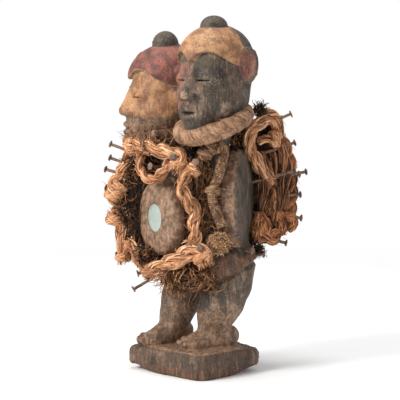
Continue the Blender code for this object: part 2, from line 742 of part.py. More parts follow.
def fibre_pack(name, middle, half_sizes, material):
    """A lumpy closed mass of packed fibre."""
    bm = bmesh.new()
    bmesh.ops.create_icosphere(bm, subdivisions=1, radius=1.0)
    across, out, up = half_sizes
    for vertex in bm.verts:
        x, y, z = vertex.co
        lump = 1.0 + 0.07 * math.sin(5.0 * x + 2.0 * z) * math.cos(4.0 * y + 3.0 * z)
        vertex.co = corner_view(middle[0] + across * x * lump, middle[1] + out * y * lump, middle[2] + up * z * lump)
    return new_object(name, mesh_from_bmesh(name, bm), material)


# The short thick brush of fibre below the twine cord: its route in the corner view, ending at the frayed end
BUNDLE_ROUTE = ((33, 52, 140), (32, 62, 138), (31, 74, 136))
BUNDLE_FLARE = 1.15
BUNDLE_PLIES = 5

# The little fruit shell tied on the far collar: its middle in the corner view, and its size
SHELL_PLACE = (-49, 21, 268)
SHELL_RADIUS = 6.0
SHELL_PROPORTIONS = (0.9, 0.9, 1.2)


def fruit_shell(material):
    bm = bmesh.new()
    bmesh.ops.create_icosphere(bm, subdivisions=1, radius=SHELL_RADIUS * UNIT)
    bmesh.ops.scale(bm, vec=SHELL_PROPORTIONS, verts=bm.verts)
    bmesh.ops.translate(bm, vec=corner_view(*SHELL_PLACE), verts=bm.verts)
    return new_object("fruit_shell", mesh_from_bmesh("fruit_shell", bm), material)


def main():
    for obj in list(bpy.data.objects):
        bpy.data.objects.remove(obj)
    wood = principled("patinated_wood", (0.16, 0.11, 0.08), 0.62)
    iron = principled("rusty_iron", (0.10, 0.065, 0.05), 0.7, 0.35)
    raffia = principled("raffia", (0.55, 0.28, 0.12), 0.85)
    twine = principled("twine", (0.26, 0.19, 0.11), 0.85)
    fibre = principled("packed_fibre", (0.10, 0.07, 0.045), 0.95)
    wrap = principled("collar_wrap", (0.33, 0.24, 0.16), 0.85)
    glass = principled("mirror_glass", (0.62, 0.72, 0.70), 0.15, 0.3)
    shell = principled("fruit_shell", (0.30, 0.18, 0.10), 0.55)

    figure = build_figure(wood)
    mirror = build_mirror(figure, glass)
    nails = build_nails(figure, iron)
    done = [Neighbour(figure), Neighbour(mirror)] + nails
    soft = [neck_ring(name, *measures, wrap) for name, measures in NECK_RINGS.items()]
    soft.append(fruit_shell(shell))
    soft += build_ropes(raffia, twine)
    bundle_route = [corner_view(*point) for point in BUNDLE_ROUTE]
    soft.append(twisted_rope("frayed_bundle", bundle_route, FRAYED_BUNDLE, raffia, BUNDLE_FLARE, BUNDLE_PLIES))
    for name, (middle, half_sizes) in FIBRE_PACKS.items():
        soft.append(fibre_pack(name, middle, half_sizes, fibre))
    for piece in soft:
        cut_by(piece, done)
        done.append(Neighbour(piece))
    for neighbour in done:
        bpy.data.objects.remove(neighbour.cutter)
        neighbour.obj.data.shade_smooth()
        neighbour.obj.data.set_sharp_from_angle(angle=SHARP_EDGE)


main()
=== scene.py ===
"""Looks for the nail fetish figure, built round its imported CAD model.

Places are in carver's units, which are millimetres: x to the figure's left, y to its back and z up
from its soles, on top of the plinth. A corner-view place is (across, out, up), seen from the
figure's left front corner.
"""
import math

import bpy
import numpy as np
from mathutils import Matrix, Vector


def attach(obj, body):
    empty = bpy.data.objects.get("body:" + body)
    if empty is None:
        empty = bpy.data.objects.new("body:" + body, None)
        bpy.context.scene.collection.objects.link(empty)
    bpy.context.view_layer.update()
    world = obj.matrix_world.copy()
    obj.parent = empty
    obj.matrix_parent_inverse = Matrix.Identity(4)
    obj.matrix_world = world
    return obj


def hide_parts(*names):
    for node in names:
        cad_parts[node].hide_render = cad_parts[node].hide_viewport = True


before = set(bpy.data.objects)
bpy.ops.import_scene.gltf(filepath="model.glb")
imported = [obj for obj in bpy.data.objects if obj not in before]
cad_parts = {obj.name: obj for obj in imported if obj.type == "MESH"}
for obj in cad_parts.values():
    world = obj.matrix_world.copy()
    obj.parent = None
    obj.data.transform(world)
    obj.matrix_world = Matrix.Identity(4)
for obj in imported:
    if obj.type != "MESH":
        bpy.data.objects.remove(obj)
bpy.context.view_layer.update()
random = np.random.default_rng(7)

MM = 0.001
PLINTH_THICKNESS = 34.0
PLINTH_HALF = (69.5, 56.5)
PLINTH_CORNER = 16.0
MIRROR_PACK_RADIUS = 48.0
MIRROR_PACK_HALF = 13.0
PLAIN_PACK_RADIUS = 63.5
PLAIN_PACK_HALF = 16.0
MIRROR_RADIUS = 18.0
MIRROR_SUNK = 1.2
DIAGONAL = math.sqrt(0.5)
SOLES = np.array([0.0, 0.0, PLINTH_THICKNESS])
CARVING_LOW = (-112, -92, -38)
CARVING_HIGH = (112, 92, 422)
CARVING_STEP = 1.25
CARVING_TRIANGLES = 150000
POINTS_AT_ONCE = 150000
EAR_LEAN = math.radians(38)
NAIL_SHANK = 2.2
NAIL_HEAD_RADIUS = 4.6
NAIL_HEAD_HEIGHT = 2.2
# A direction that no rope runs along
SKEW = (0.3, 0.2, 0.93)


def corner_view(place):
    """Carver's coordinates of places given as across, out and up."""
    place = np.asarray(place, float)
    across, out, up = place[..., 0], place[..., 1], place[..., 2]
    return np.stack([DIAGONAL * (across + out), DIAGONAL * (across - out), up], axis=-1)


def unit(v):
    return v / np.maximum(np.linalg.norm(v, axis=-1, keepdims=True), 1e-9)


def circle(count):
    """Angles evenly spaced round a circle."""
    return np.arange(count) * math.tau / count


def round_axis(angle, side, other):
    """Directions at an angle round an axis, from two directions across it."""
    return np.cos(angle)[..., None] * side + np.sin(angle)[..., None] * other


def rotated(x, y, turn):
    """Plane coordinates seen from axes turned by an angle."""
    sine, cosine = math.sin(turn), math.cos(turn)
    return x * cosine + y * sine, -x * sine + y * cosine


# Forms of the carving, as distances outside it

def lengths(q):
    return np.sqrt(np.einsum("ij,ij->i", q, q))


def smooth_union(a, b, blend):
    overlap = np.maximum(blend - np.abs(a - b), 0.0) / blend
    return np.minimum(a, b) - overlap * overlap * blend / 4


def smooth_cut(a, b, blend):
    """Form a with form b carved out of it."""
    return -smooth_union(-a, b, blend)


def ellipsoid(p, centre, radii):
    radii = np.array(radii, np.float32)
    q = (p - np.array(centre, np.float32)) / radii
    near = lengths(q)
    slope = lengths(q / radii)
    return near * (near - 1.0) / np.maximum(slope, 1e-6)


def round_cone(p, start, end, start_radius, end_radius):
    start, end = np.array(start, np.float32), np.array(end, np.float32)
    axis = end - start
    q = p - start
    along = np.clip(q @ axis / (axis @ axis), 0.0, 1.0)
    return lengths(q - along[:, None] * axis) - (start_radius + along * (end_radius - start_radius))


def limb(p, stations, blend):
    """Balls (x, y, z, radius) joined in a chain."""
    form = None
    for a, b in zip(stations, stations[1:]):
        piece = round_cone(p, a[:3], b[:3], a[3], b[3])
        form = piece if form is None else smooth_union(form, piece, blend)
    return form


def axial(p, centre, axis):
    """How far points lie along an axis through a centre, and how far out from it."""
    q = p - np.array(centre, np.float32)
    along = q @ axis
    return along, lengths(q - along[:, None] * axis)


def disc(p, centre, facing, radius, half_thickness, rim, crown):
    """A round pack whose faces swell by crown in the middle."""
    along, out = axial(p, centre, np.array(facing, np.float32) / np.float32(np.linalg.norm(facing)))
    thick = half_thickness - crown * np.minimum(out / radius, 1.2) ** 2
    side = out - (radius - rim)
    face = np.abs(along) - (thick - rim)
    outside = np.hypot(np.maximum(side, 0), np.maximum(face, 0))
    return outside + np.minimum(np.maximum(side, face), 0) - rim


def smooth_step(low, high, value):
    share = np.clip((value - low) / (high - low), 0, 1)
    return share * share * (3 - 2 * share)


def value_noise(p, size, seed):
    """Smooth noise from -1 to 1, with features about size across."""
    q = np.asarray(p, float) / size + 41.7 * seed
    cell = np.floor(q).astype(np.int64)
    t = q - cell
    t = t * t * (3 - 2 * t)
    total = np.zeros(len(q))
    for corner in range(8):
        bits = np.array([corner & 1, corner >> 1 & 1, corner >> 2 & 1])
        key = (cell + bits) @ np.array([73856093, 19349663, 83492791])
        key = ((key ^ (key >> 13)) * 1274126177) & 0x7FFFFFFF
        key = ((key ^ (key >> 15)) * 668265263) & 0x7FFFFFFF
        total += np.prod(np.where(bits, t, 1 - t), axis=1) * (key / 0x40000000 - 1.0)
    return total


def layered_noise(p, size, layers, seed):
    total = np.zeros(len(p))
    for layer in range(layers):
        total += value_noise(p, size / 2 ** layer, seed + layer) / 2 ** layer
    return total


def plinth(p):
    """A rounded slab, worn thin at its right front and left back corners."""
    half = np.array(PLINTH_HALF, np.float32)
    side = np.abs(p[:, :2]) - (half - PLINTH_CORNER)
    outline = lengths(np.maximum(side, 0)) + np.minimum(side.max(axis=1), 0) - PLINTH_CORNER
    worn = smooth_step(0.45, 0.93, np.abs(p[:, 0] + p[:, 1]) / half.sum())
    top = p[:, 2] + 5.0 * worn
    underside = -p[:, 2] - PLINTH_THICKNESS + 8.0 * worn
    slab = smooth_cut(outline, -top, 7.0)
    return smooth_cut(slab, -underside, 5.0)


def foot(p, heel, turn, length, width):
    """A flat foot from its heel towards its toes, turned from straight ahead."""
    q = np.stack([*rotated(p[:, 0] - heel[0], p[:, 1] - heel[1], turn), p[:, 2]], axis=1)
    form = ellipsoid(q, (0, -0.19 * length, 11), (0.46 * width, 0.19 * length, 14))
    instep = ellipsoid(q, (0, -0.46 * length, 9), (0.45 * width, 0.33 * length, 17))
    ball = ellipsoid(q, (0, -0.72 * length, 5), (0.51 * width, 0.2 * length, 12))
    form = smooth_union(smooth_union(form, instep, 8), ball, 6)
    for toe in range(5):
        across = (toe - 2) * 0.205 * width
        ahead = -0.87 * length + abs(toe - 2.0) * 1.6
        form = smooth_union(form, ellipsoid(q, (across, ahead, 5.0), (0.12 * width, 0.14 * length, 7.5)), 1.2)
        nail = ellipsoid(q, (across, ahead - 0.09 * length, 10.0), (0.085 * width, 0.05 * length, 2.2))
        form = smooth_cut(form, nail, 0.8)
    return form


def head_space(p, place, turn):
    """Points seen from a head: x to its left, y to its back, z up, from the middle of the head."""
    q = p - np.array(place, np.float32)
    return np.stack([*rotated(q[:, 0], q[:, 1], turn), q[:, 2]], axis=1)


def mirrored(p):
    return np.stack([np.abs(p[:, 0]), p[:, 1], p[:, 2]], axis=1)


def cap_edge(across):
    """Height of the cap's lower edge: an arch over each eye, and a dip at the nose and the temples."""
    return 33.0 - 15.0 * ((across - 20.0) / 22.0) ** 2


def ear_space(s):
    """Places seen from an ear: x out along its blade, y through it to the back, z up."""
    x, y = rotated(s[:, 0] - 40.0, s[:, 1] - 4.0, EAR_LEAN)
    return np.stack([x, y, s[:, 2] - 14.0 - 0.12 * x], axis=1)


def ear_hollow(q):
    return ellipsoid(q, (8.0, -7.5, 2), (9.5, 8.2, 18))


def ear(s):
    """A tall ear standing off the head, hollowed on its front round an inner fold."""
    q = ear_space(s)
    shell = smooth_cut(ellipsoid(q, (6, 0, 1), (15, 6.5, 23.5)), ear_hollow(q), 1.5)
    return smooth_union(shell, round_cone(q, (2.5, -1.0, -9), (4.0, -1.4, 6), 2.2, 1.6), 2.0)


def head(p, knob_height):
    """One head in its own space, from the chin at z -66 to the crown at 66, the eyes midway."""
    s = mirrored(p)
    form = ellipsoid(p, (0, 7, 15), (44, 50, 51))
    form = smooth_union(form, ellipsoid(p, (0, -12, -20), (37.5, 38, 45.5)), 12)
    form = smooth_union(form, ellipsoid(s, (14, 2, -24), (27, 38, 31)), 12)
    cap = smooth_union(ellipsoid(p, (0, 5, 16), (45.5, 55, 50)), ellipsoid(p, (0, 3, 24), (43, 49, 40)), 6)
    below_edge = (cap_edge(s[:, 0]) + 0.35 * np.maximum(p[:, 1], 0) - p[:, 2]) * 0.8
    form = smooth_union(form, smooth_cut(cap, -below_edge, 2.0), 1.5)
    form = smooth_cut(form, ellipsoid(s, (20, -49, 12), (17.5, 9.5, 13.5)), 5)
    form = smooth_union(form, ellipsoid(s, (18.5, -34, 0), (12.5, 8.5, 7.5)), 4)
    form = smooth_cut(form, ellipsoid(s, (18.5, -43.5, -1.8), (10.0, 6.0, 0.8)), 0.7)
    form = smooth_union(form, round_cone(s, (9.5, -42.6, 1.0), (27.0, -38.4, 0.0), 1.3, 1.1), 1.5)
    nose = round_cone(p, (0, -40, 12), (0, -54, -19), 4.5, 7.5)
    nose = smooth_union(nose, ellipsoid(s, (8, -49, -21), (6.5, 8, 6)), 4)
    nose = smooth_cut(nose, p[:, 2] + 27 + 0.25 * (p[:, 1] + 50), 2)
    form = smooth_union(form, nose, 5)
    form = smooth_cut(form, ellipsoid(s, (5.6, -53, -26.5), (2.5, 3.4, 2.6)), 1.0)
    form = smooth_union(form, ellipsoid(p, (0, -41, -42), (21, 11, 14)), 9)
    form = smooth_union(form, round_cone(s, (0, -52.0, -36.5), (14.5, -44, -40.5), 3.9, 2.6), 2)
    form = smooth_union(form, round_cone(s, (0, -51.5, -46.5), (13.5, -43.5, -43), 4.2, 2.8), 2)
    form = smooth_cut(form, ellipsoid(p, (0, -54, -41.3), (12.5, 8.5, 2.0)), 1.0)
    form = smooth_union(form, ellipsoid(p, (0, -38, -58), (15, 11, 9.5)), 8)
    form = smooth_union(form, ear(s), 2.5)
    knob = ellipsoid(p, (0, 0, 64), (17, 17, knob_height + 2.0))
    return smooth_union(form, knob, 1.0)


NEAR_HEAD = (49, -13, 340)
NEAR_HEAD_TURN = math.radians(6)
FAR_HEAD = (-52, 1, 316)
FAR_HEAD_TURN = math.radians(-30)
MIRROR_PACK = (-12.8, -42, 164)
MIRROR_PACK_FACING = (-0.259, -0.966, 0)
PLAIN_PACK = (45, 34, 187)
PLAIN_PACK_FACING = (0.839, 0.545, 0)
NEAR_LEG = (
    (45, 27, 106, 28), (46, 20, 80, 26), (42.5, 9, 58, 27), (36, 4, 40, 23), (31, 4, 26, 17.5),
    (31, 6, 12, 16))
FAR_LEG = (
    (-18, 9, 100, 27), (-22, 6, 70, 25), (-26, 2, 52, 24), (-30, -2, 33, 20), (-32, -3, 24, 17),
    (-33, -2, 10, 15))
NEAR_HEEL = (39.5, 40)
FAR_HEEL = (-34, 28)
FOOT_LENGTH = 84.0
FOOT_WIDTH = 33.0
NEAR_FOOT_TURN = math.radians(-15)
FAR_FOOT_TURN = math.radians(-2)
HEM_OVERHANG = 3.5
HEM_GROOVE = 3.0
KNOB_ABOVE_NEAR_CROWN = 11.5
KNOB_ABOVE_FAR_CROWN = 16.5
HEAD_REACH = 90.0


def above_hem(p):
    """Height above the lower edge of the hips, which climbs over the thigh towards the figure's left."""
    return p[:, 2] - 79 - 0.375 * np.maximum(p[:, 0] + p[:, 1] - 28, 0)


def trunk(p):
    """Hips that overhang the thighs, belly and shoulders."""
    hips = smooth_union(ellipsoid(p, (13, 14, 104), (59, 42, 34)), limb(p, NEAR_LEG, 6) - HEM_OVERHANG, 5)
    hips = smooth_cut(hips, above_hem(p), 2)
    belly = ellipsoid(p, (6, 8, 160), (43, 37, 78))
    shoulders = ellipsoid(p, (-3, 3, 221), (53, 35, 29))
    return smooth_union(smooth_union(hips, belly, 14), shoulders, 16)


def mirror_seat(p):
    """The round seat cut in the front pack for the mirror."""
    axis = np.array(unit(np.array(MIRROR_PACK_FACING, float)), np.float32)
    along, out = axial(p, MIRROR_PACK, axis)
    return np.maximum(out - (MIRROR_RADIUS + 0.6), MIRROR_PACK_HALF - MIRROR_SUNK - 2.5 - along)


def carving(p):
    """Distance outside the whole carved block."""
    form = smooth_union(limb(p, NEAR_LEG, 6), foot(p, NEAR_HEEL, NEAR_FOOT_TURN, FOOT_LENGTH, FOOT_WIDTH), 5)
    far_leg = smooth_union(limb(p, FAR_LEG, 6), foot(p, FAR_HEEL, FAR_FOOT_TURN, FOOT_LENGTH, FOOT_WIDTH), 5)
    form = smooth_union(np.minimum(form, far_leg), trunk(p), 1.5)
    form = form + HEM_GROOVE * np.clip(1 - np.abs(above_hem(p) + 1.5) / 5, 0, 1)
    form = smooth_union(form, plinth(p), 1.2)
    form = smooth_union(form, round_cone(p, (20, 0, 232), (45, -6, 296), 27, 23), 8)
    form = smooth_union(form, round_cone(p, (-22, 2, 226), (-45, 4, 270), 26, 23), 8)
    for place, facing, radius, half, rim, crown in (
        (MIRROR_PACK, MIRROR_PACK_FACING, MIRROR_PACK_RADIUS, MIRROR_PACK_HALF, 9.5, 1.0),
        (PLAIN_PACK, PLAIN_PACK_FACING, PLAIN_PACK_RADIUS, PLAIN_PACK_HALF, 10.5, 3.5),
    ):
        inward = -np.array(facing)
        neck = round_cone(p, place + inward * (half + 17), place + inward * (half + 34), 27, 32)
        form = smooth_union(form, neck, 8)
        form = smooth_union(form, disc(p, place, facing, radius, half, min(rim, half - crown - 1), crown), 4)
    for place, turn, knob in (
        (NEAR_HEAD, NEAR_HEAD_TURN, KNOB_ABOVE_NEAR_CROWN),
        (FAR_HEAD, FAR_HEAD_TURN, KNOB_ABOVE_FAR_CROWN),
    ):
        near = lengths(p - np.array(place, np.float32)) < HEAD_REACH
        form[near] = smooth_union(form[near], head(head_space(p[near], place, turn), knob), 3)
    return np.maximum(form, -mirror_seat(p))


# Meshes

def fine_surface(field, low, high, step):
    """Corners and quads of the closed surface where the field is zero."""
    low = np.array(low, float)
    shape = (np.ceil((np.array(high) - low) / step / 2).astype(int) + 1) * 2
    coarse = np.stack(np.meshgrid(*[np.arange(0, n, 2) for n in shape], indexing="ij"), axis=-1)
    values = worked_in_parts(field, low + coarse.reshape(-1, 3) * step).reshape(coarse.shape[:3])
    for axis in range(3):
        values = np.repeat(values, 2, axis=axis)
    # Exact values near the surface, coarse ones elsewhere
    near = np.argwhere(np.abs(values) < 4 * step)
    values[tuple(near.T)] = worked_in_parts(field, low + near * step)
    inside = values < 0
    points, loops = [], []
    for axis in range(3):
        lower, upper = [slice(None)] * 3, [slice(None)] * 3
        lower[axis], upper[axis] = slice(None, -1), slice(1, None)
        crossed = inside[tuple(lower)] != inside[tuple(upper)]
        edge = np.argwhere(crossed)
        a, b = values[tuple(lower)][crossed], values[tuple(upper)][crossed]
        point = edge.astype(float)
        point[:, axis] += a / (a - b)
        ring = []
        for first, second in ((0, 0), (1, 0), (1, 1), (0, 1)):
            cell = edge.copy()
            cell[:, (axis + 1) % 3] -= first
            cell[:, (axis + 2) % 3] -= second
            ring.append(np.ravel_multi_index(cell.T, shape))
        ring = np.stack(ring, axis=1)
        leaving = inside[tuple(lower)][crossed]
        ring[leaving] = ring[leaving][:, ::-1]
        loops.append(ring)
        points.append(point)
    loops = np.concatenate(loops)
    points = np.repeat(np.concatenate(points), 4, axis=0)
    _, number = np.unique(loops.reshape(-1), return_inverse=True)
    count = np.bincount(number)
    middle = np.stack([np.bincount(number, weights=points[:, part]) / count for part in range(3)], axis=1)
    return low + middle * step, number.reshape(-1, 4)


def worked_in_parts(field, points):
    """The field's values, worked out for some points at a time to spare memory."""
    points = points.astype(np.float32)
    starts = range(0, len(points), POINTS_AT_ONCE)
    return np.concatenate([field(points[start:start + POINTS_AT_ONCE]) for start in starts])


class Soup:
    """Collects rings of points into one mesh, with a grain place and a tone for each point."""

    def __init__(self):
        self.points, self.faces, self.grain, self.tone = [], [], [], []
        self.count = 0

    def add(self, points, faces, grain, tone):
        self.points.append(np.asarray(points, float).reshape(-1, 3))
        self.faces += (np.asarray(faces) + self.count).tolist()
        self.grain.append(np.asarray(grain, float).reshape(-1, 3))
        self.tone.append(np.broadcast_to(tone, len(self.grain[-1])).astype(float))
        self.count += len(self.points[-1])

    def tube(self, rings, grain, tone, closed=False):
        """Skins rings (n, m, 3); an open tube gets a face on each end."""
        rings = np.asarray(rings, float)
        n, m = rings.shape[:2]
        start = self.count
        self.add(rings, sheet_faces(n, m, closed), grain, tone)
        if not closed:
            for ring, turn in ((0, -1), (n - 1, 1)):
                loop = list(range(start + ring * m, start + ring * m + m))
                self.faces.append(loop[::turn])

    def build(self, name, material):
        points = (np.concatenate(self.points) + SOLES) * MM
        mesh = bpy.data.meshes.new(name)
        mesh.from_pydata(points.tolist(), [], self.faces)
        set_attribute(mesh, "grain", "FLOAT_VECTOR", np.concatenate(self.grain))
        set_attribute(mesh, "tone", "FLOAT", np.concatenate(self.tone))
        return finished(name, mesh, material)


def sheet_faces(n, m, closed):
    """Quads of a grid that wraps round its m side, and round its n side too if closed."""
    i, j = np.meshgrid(np.arange(n if closed else n - 1), np.arange(m), indexing="ij")
    ahead, beside = (i + 1) % n, (j + 1) % m
    return np.stack([i * m + j, i * m + beside, ahead * m + beside, ahead * m + j], axis=-1).reshape(-1, 4)


def set_attribute(mesh, name, kind, values):
    attribute = mesh.attributes.new(name, kind, "POINT")
    part = "vector" if kind == "FLOAT_VECTOR" else "value"
    attribute.data.foreach_set(part, np.ravel(values).astype(np.float32))


def finished(name, mesh, material):
    """The piece made of a mesh: smooth, in its material, and moving with the figure."""
    mesh.validate()
    obj = bpy.data.objects.new(name, mesh)
    bpy.context.collection.objects.link(obj)
    mesh.materials.append(material)
    mesh.shade_smooth()
    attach(obj, "root")
    return obj


def smooth_route(points, spacing):
    """Evenly spaced points along a smooth curve through the route's own points."""
    points = np.asarray(points, float)
    padded = np.concatenate([[2 * points[0] - points[1]], points, [2 * points[-1] - points[-2]]])
    t = np.linspace(0, 1, 24, endpoint=False)[:, None]
    curve = []
    for before, start, end, after in zip(padded, padded[1:], padded[2:], padded[3:]):
        curve.append(0.5 * (
            2 * start + (end - before) * t + (2 * before - 5 * start + 4 * end - after) * t ** 2
            + (3 * start - before - 3 * end + after) * t ** 3))
    return respaced(np.concatenate(curve + [points[-1:]]), spacing)


def run_along(curve):
    """Length of a curve up to each of its points."""
    return np.concatenate([[0], np.cumsum(np.linalg.norm(np.diff(curve, axis=0), axis=1))])


def respaced(curve, spacing):
    run = run_along(curve)
    count = max(4, int(round(run[-1] / spacing)) + 1)
    even = np.linspace(0, run[-1], count)
    return np.stack([np.interp(even, run, curve[:, part]) for part in range(3)], axis=1)


def frames(curve):
    """Run, tangents and two carried side directions along a curve."""
    ahead = unit(np.gradient(curve, axis=0))
    side = np.zeros_like(curve)
    side[0] = unit(np.cross(ahead[0], SKEW))
    for i in range(1, len(curve)):
        side[i] = unit(side[i - 1] - ahead[i] * (side[i - 1] @ ahead[i]))
    return run_along(curve), ahead, side, np.cross(ahead, side)


def section_rings(curve, radius, sides, turn=0.0):
    """Rings (n, m, 3) round a curve; radius is a number, or an array (n, m)."""
    side, other = frames(curve)[2:]
    angle = circle(sides) + np.reshape(turn, (-1, 1)) * np.ones((len(curve), 1))
    radius = np.broadcast_to(radius, (len(curve), sides))[..., None]
    return curve[:, None] + radius * round_axis(angle, side[:, None], other[:, None])


# Cords, ropes and fibre

def fibre(soup, curve, width, sides=3, tone=0.5, taper=0.35, flat=1.0, spin=0.0):
    """One fibre, thinning to its tip; a flat one is a ribbon."""
    share = np.linspace(0, 1, len(curve))
    radius = width / 2 * (1 - (1 - taper) * share ** 2)
    section = np.where(np.arange(sides) % 2 == 0, 1.0, flat)
    rings = section_rings(curve, radius[:, None] * section, sides, spin)
    run = share * np.linalg.norm(np.diff(curve, axis=0), axis=1).sum()
    grain = np.zeros(rings.shape)
    grain[..., 0] = random.uniform(0, 500)
    grain[..., 1] = np.arange(sides) * 0.4
    grain[..., 2] = run[:, None] * 0.1
    soup.tube(rings, grain, tone)


def wandering(start, direction, length, bend, sag=0.0, steps=6):
    """A short curve that leaves start in a direction and bends as it goes."""
    step = length / steps
    points = [np.asarray(start, float)]
    heading = unit(np.asarray(direction, float))
    swerve = random.normal(0, 1, 3)
    for _ in range(steps):
        drift = 0.6 * swerve + random.normal(0, 0.7, 3)
        heading = unit(heading + bend * drift / steps + np.array([0, 0, -sag / steps]))
        points.append(points[-1] + heading * step)
    return np.array(points)


def strand(soup, curve, radius, sides, ridges, twist, depth, tone, swell=None):
    """A twisted bunch of raffia: a tube with soft ridges that wind round it."""
    run = run_along(curve)
    around = circle(sides)
    phase = ridges * around[None] / 2 + (twist * run[:, None] + random.uniform(0, 6))
    form = 1 - depth + depth * np.abs(np.sin(phase)) ** 0.7
    form = form * (1 + 0.05 * np.sin(run[:, None] / 3.1 + around[None] * 2 + random.uniform(0, 6)))
    if swell is not None:
        form = form * swell[:, None]
    rings = section_rings(curve, radius * form, sides)
    grain = np.zeros(rings.shape)
    seed = random.uniform(0, 300)
    angle = around[None] + twist * run[:, None] / ridges * 2
    grain[..., 0] = radius * np.cos(angle) + seed
    grain[..., 1] = radius * np.sin(angle)
    grain[..., 2] = run[:, None] * 0.12
    soup.tube(rings, grain, tone)


def bundle(soup, points, radii, count, width, twist, tones=(0.1, 1.0), inner=0.3):
    """Ribbons of raffia side by side along a route; radii are the bundle's own from end to end."""
    route = smooth_route(points, 3.3)
    run, _, side, other = frames(route)
    share = run / run[-1]
    radius = np.interp(share, np.linspace(0, 1, len(radii)), radii)
    for _ in range(count):
        far = math.sqrt(random.uniform(inner, 1))
        angle = random.uniform(0, math.tau) + twist * run
        angle = angle + 0.35 * np.sin(share * random.uniform(3, 8) + random.uniform(0, 6))
        wave = 1 + 0.1 * np.sin(share * random.uniform(5, 12) + random.uniform(0, 6))
        path = route + (far * radius * wave)[:, None] * round_axis(angle, side, other)
        fibre(soup, path, random.uniform(*width), 4, random.uniform(*tones), 0.8, 0.4, random.uniform(0, 3))


def stray_fibres(soup, route, radius, count, reach, tones=(0.2, 1.0)):
    """Loose ends that stand off a rope."""
    ahead = unit(np.gradient(route, axis=0))
    for _ in range(count):
        i = random.integers(1, len(route) - 1)
        out = unit(np.cross(ahead[i], random.normal(0, 1, 3)))
        start = route[i] + out * radius * 0.95
        heading = ahead[i] * random.choice([-1, 1]) + 0.5 * out
        curve = wandering(start, heading, random.uniform(0.3 * reach, reach), 1.2, sag=0.15)
        fibre(soup, curve, random.uniform(0.35, 0.75), tone=random.uniform(*tones))


def frayed_end(soup, end, way, radius, flare, count):
    """The cut end of a rope: a brush of short ribbons that spread a little."""
    side = unit(np.cross(way, SKEW))
    other = np.cross(way, side)
    for _ in range(count):
        angle, far = random.uniform(0, math.tau), math.sqrt(random.uniform(0, 1))
        lay = round_axis(angle, side, other)
        start = end + lay * far * radius * 0.88 - way * 3
        heading = way + lay * far * (flare - 0.6)
        curve = wandering(start, heading, random.uniform(4, 5 + 4 * flare), 0.5, steps=4)
        fibre(soup, curve, random.uniform(1.0, 2.2), 4, random.uniform(0.0, 0.9), 0.6, 0.5)


def knot(soup, place, ahead, radius, turns, thick):
    """A lump of cord turned round the rope that it ties."""
    side = unit(np.cross(ahead, (0.2, 0.5, 0.8)))
    other = np.cross(ahead, side)
    t = np.linspace(0, math.tau * turns, 22 * turns)
    uneven = (1 + 0.08 * np.sin(2.3 * t))[:, None]
    rise = thick * 1.1 * np.linspace(-turns / 2, turns / 2, len(t)) + 0.25 * radius * np.sin(0.9 * t)
    path = place + radius * round_axis(t, side, other) * uneven
    path = path + ahead * rise[:, None]
    strand(soup, path, thick, 9, 5, 0.5, 0.15, 0.45)
    bundle(soup, path[::3], (thick, thick), 7, (1.0, 1.8), 0.12, inner=0.9)


def twisted_rope(points, diameter, flare, plies):
    """Plies of raffia laid round each other, frayed at the cut end, with stray fibres along it."""
    route = smooth_route(points, 1.6)
    run, ahead, side, other = frames(route)
    pitch = 1.3 * plies * diameter
    soup = Soup()
    offset, ply_radius = (0.22, 0.27) if plies == 2 else (0.25, 0.25)
    wobble = value_noise(route, 26, 3) * 0.3
    for ply in range(plies):
        angle = math.tau * (run / pitch + ply / plies) + wobble
        path = route + offset * diameter * round_axis(angle, side, other)
        swell = 1 + 0.26 * value_noise(path, 14, ply + 5)
        radius = ply_radius * diameter
        # The core strand is toned dark: painted shade in the gaps between the ribbons laid over it
        strand(soup, path, radius * 1.02, 18, 12, -0.16, 0.16, 0.34, swell)
        wave = 1.0 + 0.24 * value_noise(path[::6], 14, ply + 5)
        bundle(soup, path[::3], radius * wave, int(1.3 * radius), (2.0, 4.4), -0.07, (0.2, 0.95), 0.9)
        bundle(soup, path[::3], radius * wave * 1.04, int(1.8 * radius), (0.5, 1.0), -0.07, (-0.5, 0.3), 0.97)
    stray_fibres(soup, route, diameter * 0.47, int(run[-1] / 1.6), 13)
    frayed_end(soup, route[-1], ahead[-1], diameter / 2, flare, int(2.6 * diameter))
    frayed_end(soup, route[0], -ahead[0], diameter / 2, 1.0, int(2.0 * diameter))
    return soup


def wound_cord(name, points, diameter, material):
    """A cord served with fine twine, with knots where it bends and half way down."""
    route = smooth_route(points, 0.5)
    run, ahead = frames(route)[:2]
    sides = 20
    around = circle(sides)[None]
    down = run[:, None]
    uneven = value_noise(route, 5, 1)[:, None]
    wind = np.abs(np.sin(math.pi * (down / 2.3 + around / math.tau) + 0.8 * uneven)) ** 0.7
    lump = 1 + 0.07 * value_noise(route, 9, 4)[:, None]
    rings = section_rings(route, diameter / 2 * lump * (0.84 + 0.18 * wind), sides)
    grain = np.stack(np.broadcast_arrays(around * 3, down * 0.6, down * 0 + 3), axis=-1)
    soup = Soup()
    # Tone follows the winding: painted shade in the grooves between turns and painted light on the ridges;
    # the cord also gets paler further down
    soup.tube(rings, grain, (0.75 * wind - 0.12 + 0.25 * smooth_step(90, 190, down)).ravel())
    for middle, turns, thick in ((0.07, 3, 2.6), (0.14, 3, 2.4), (0.21, 2, 2.4), (0.66, 3, 2.2)):
        i = int(middle * (len(route) - 1))
        knot(soup, route[i], ahead[i], diameter / 2 + 1.2, turns, thick)
    stray_fibres(soup, route, diameter / 2, 190, 9, (0.3, 1.0))
    piece = soup.build(name + "_winding", material)
    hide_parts(name)


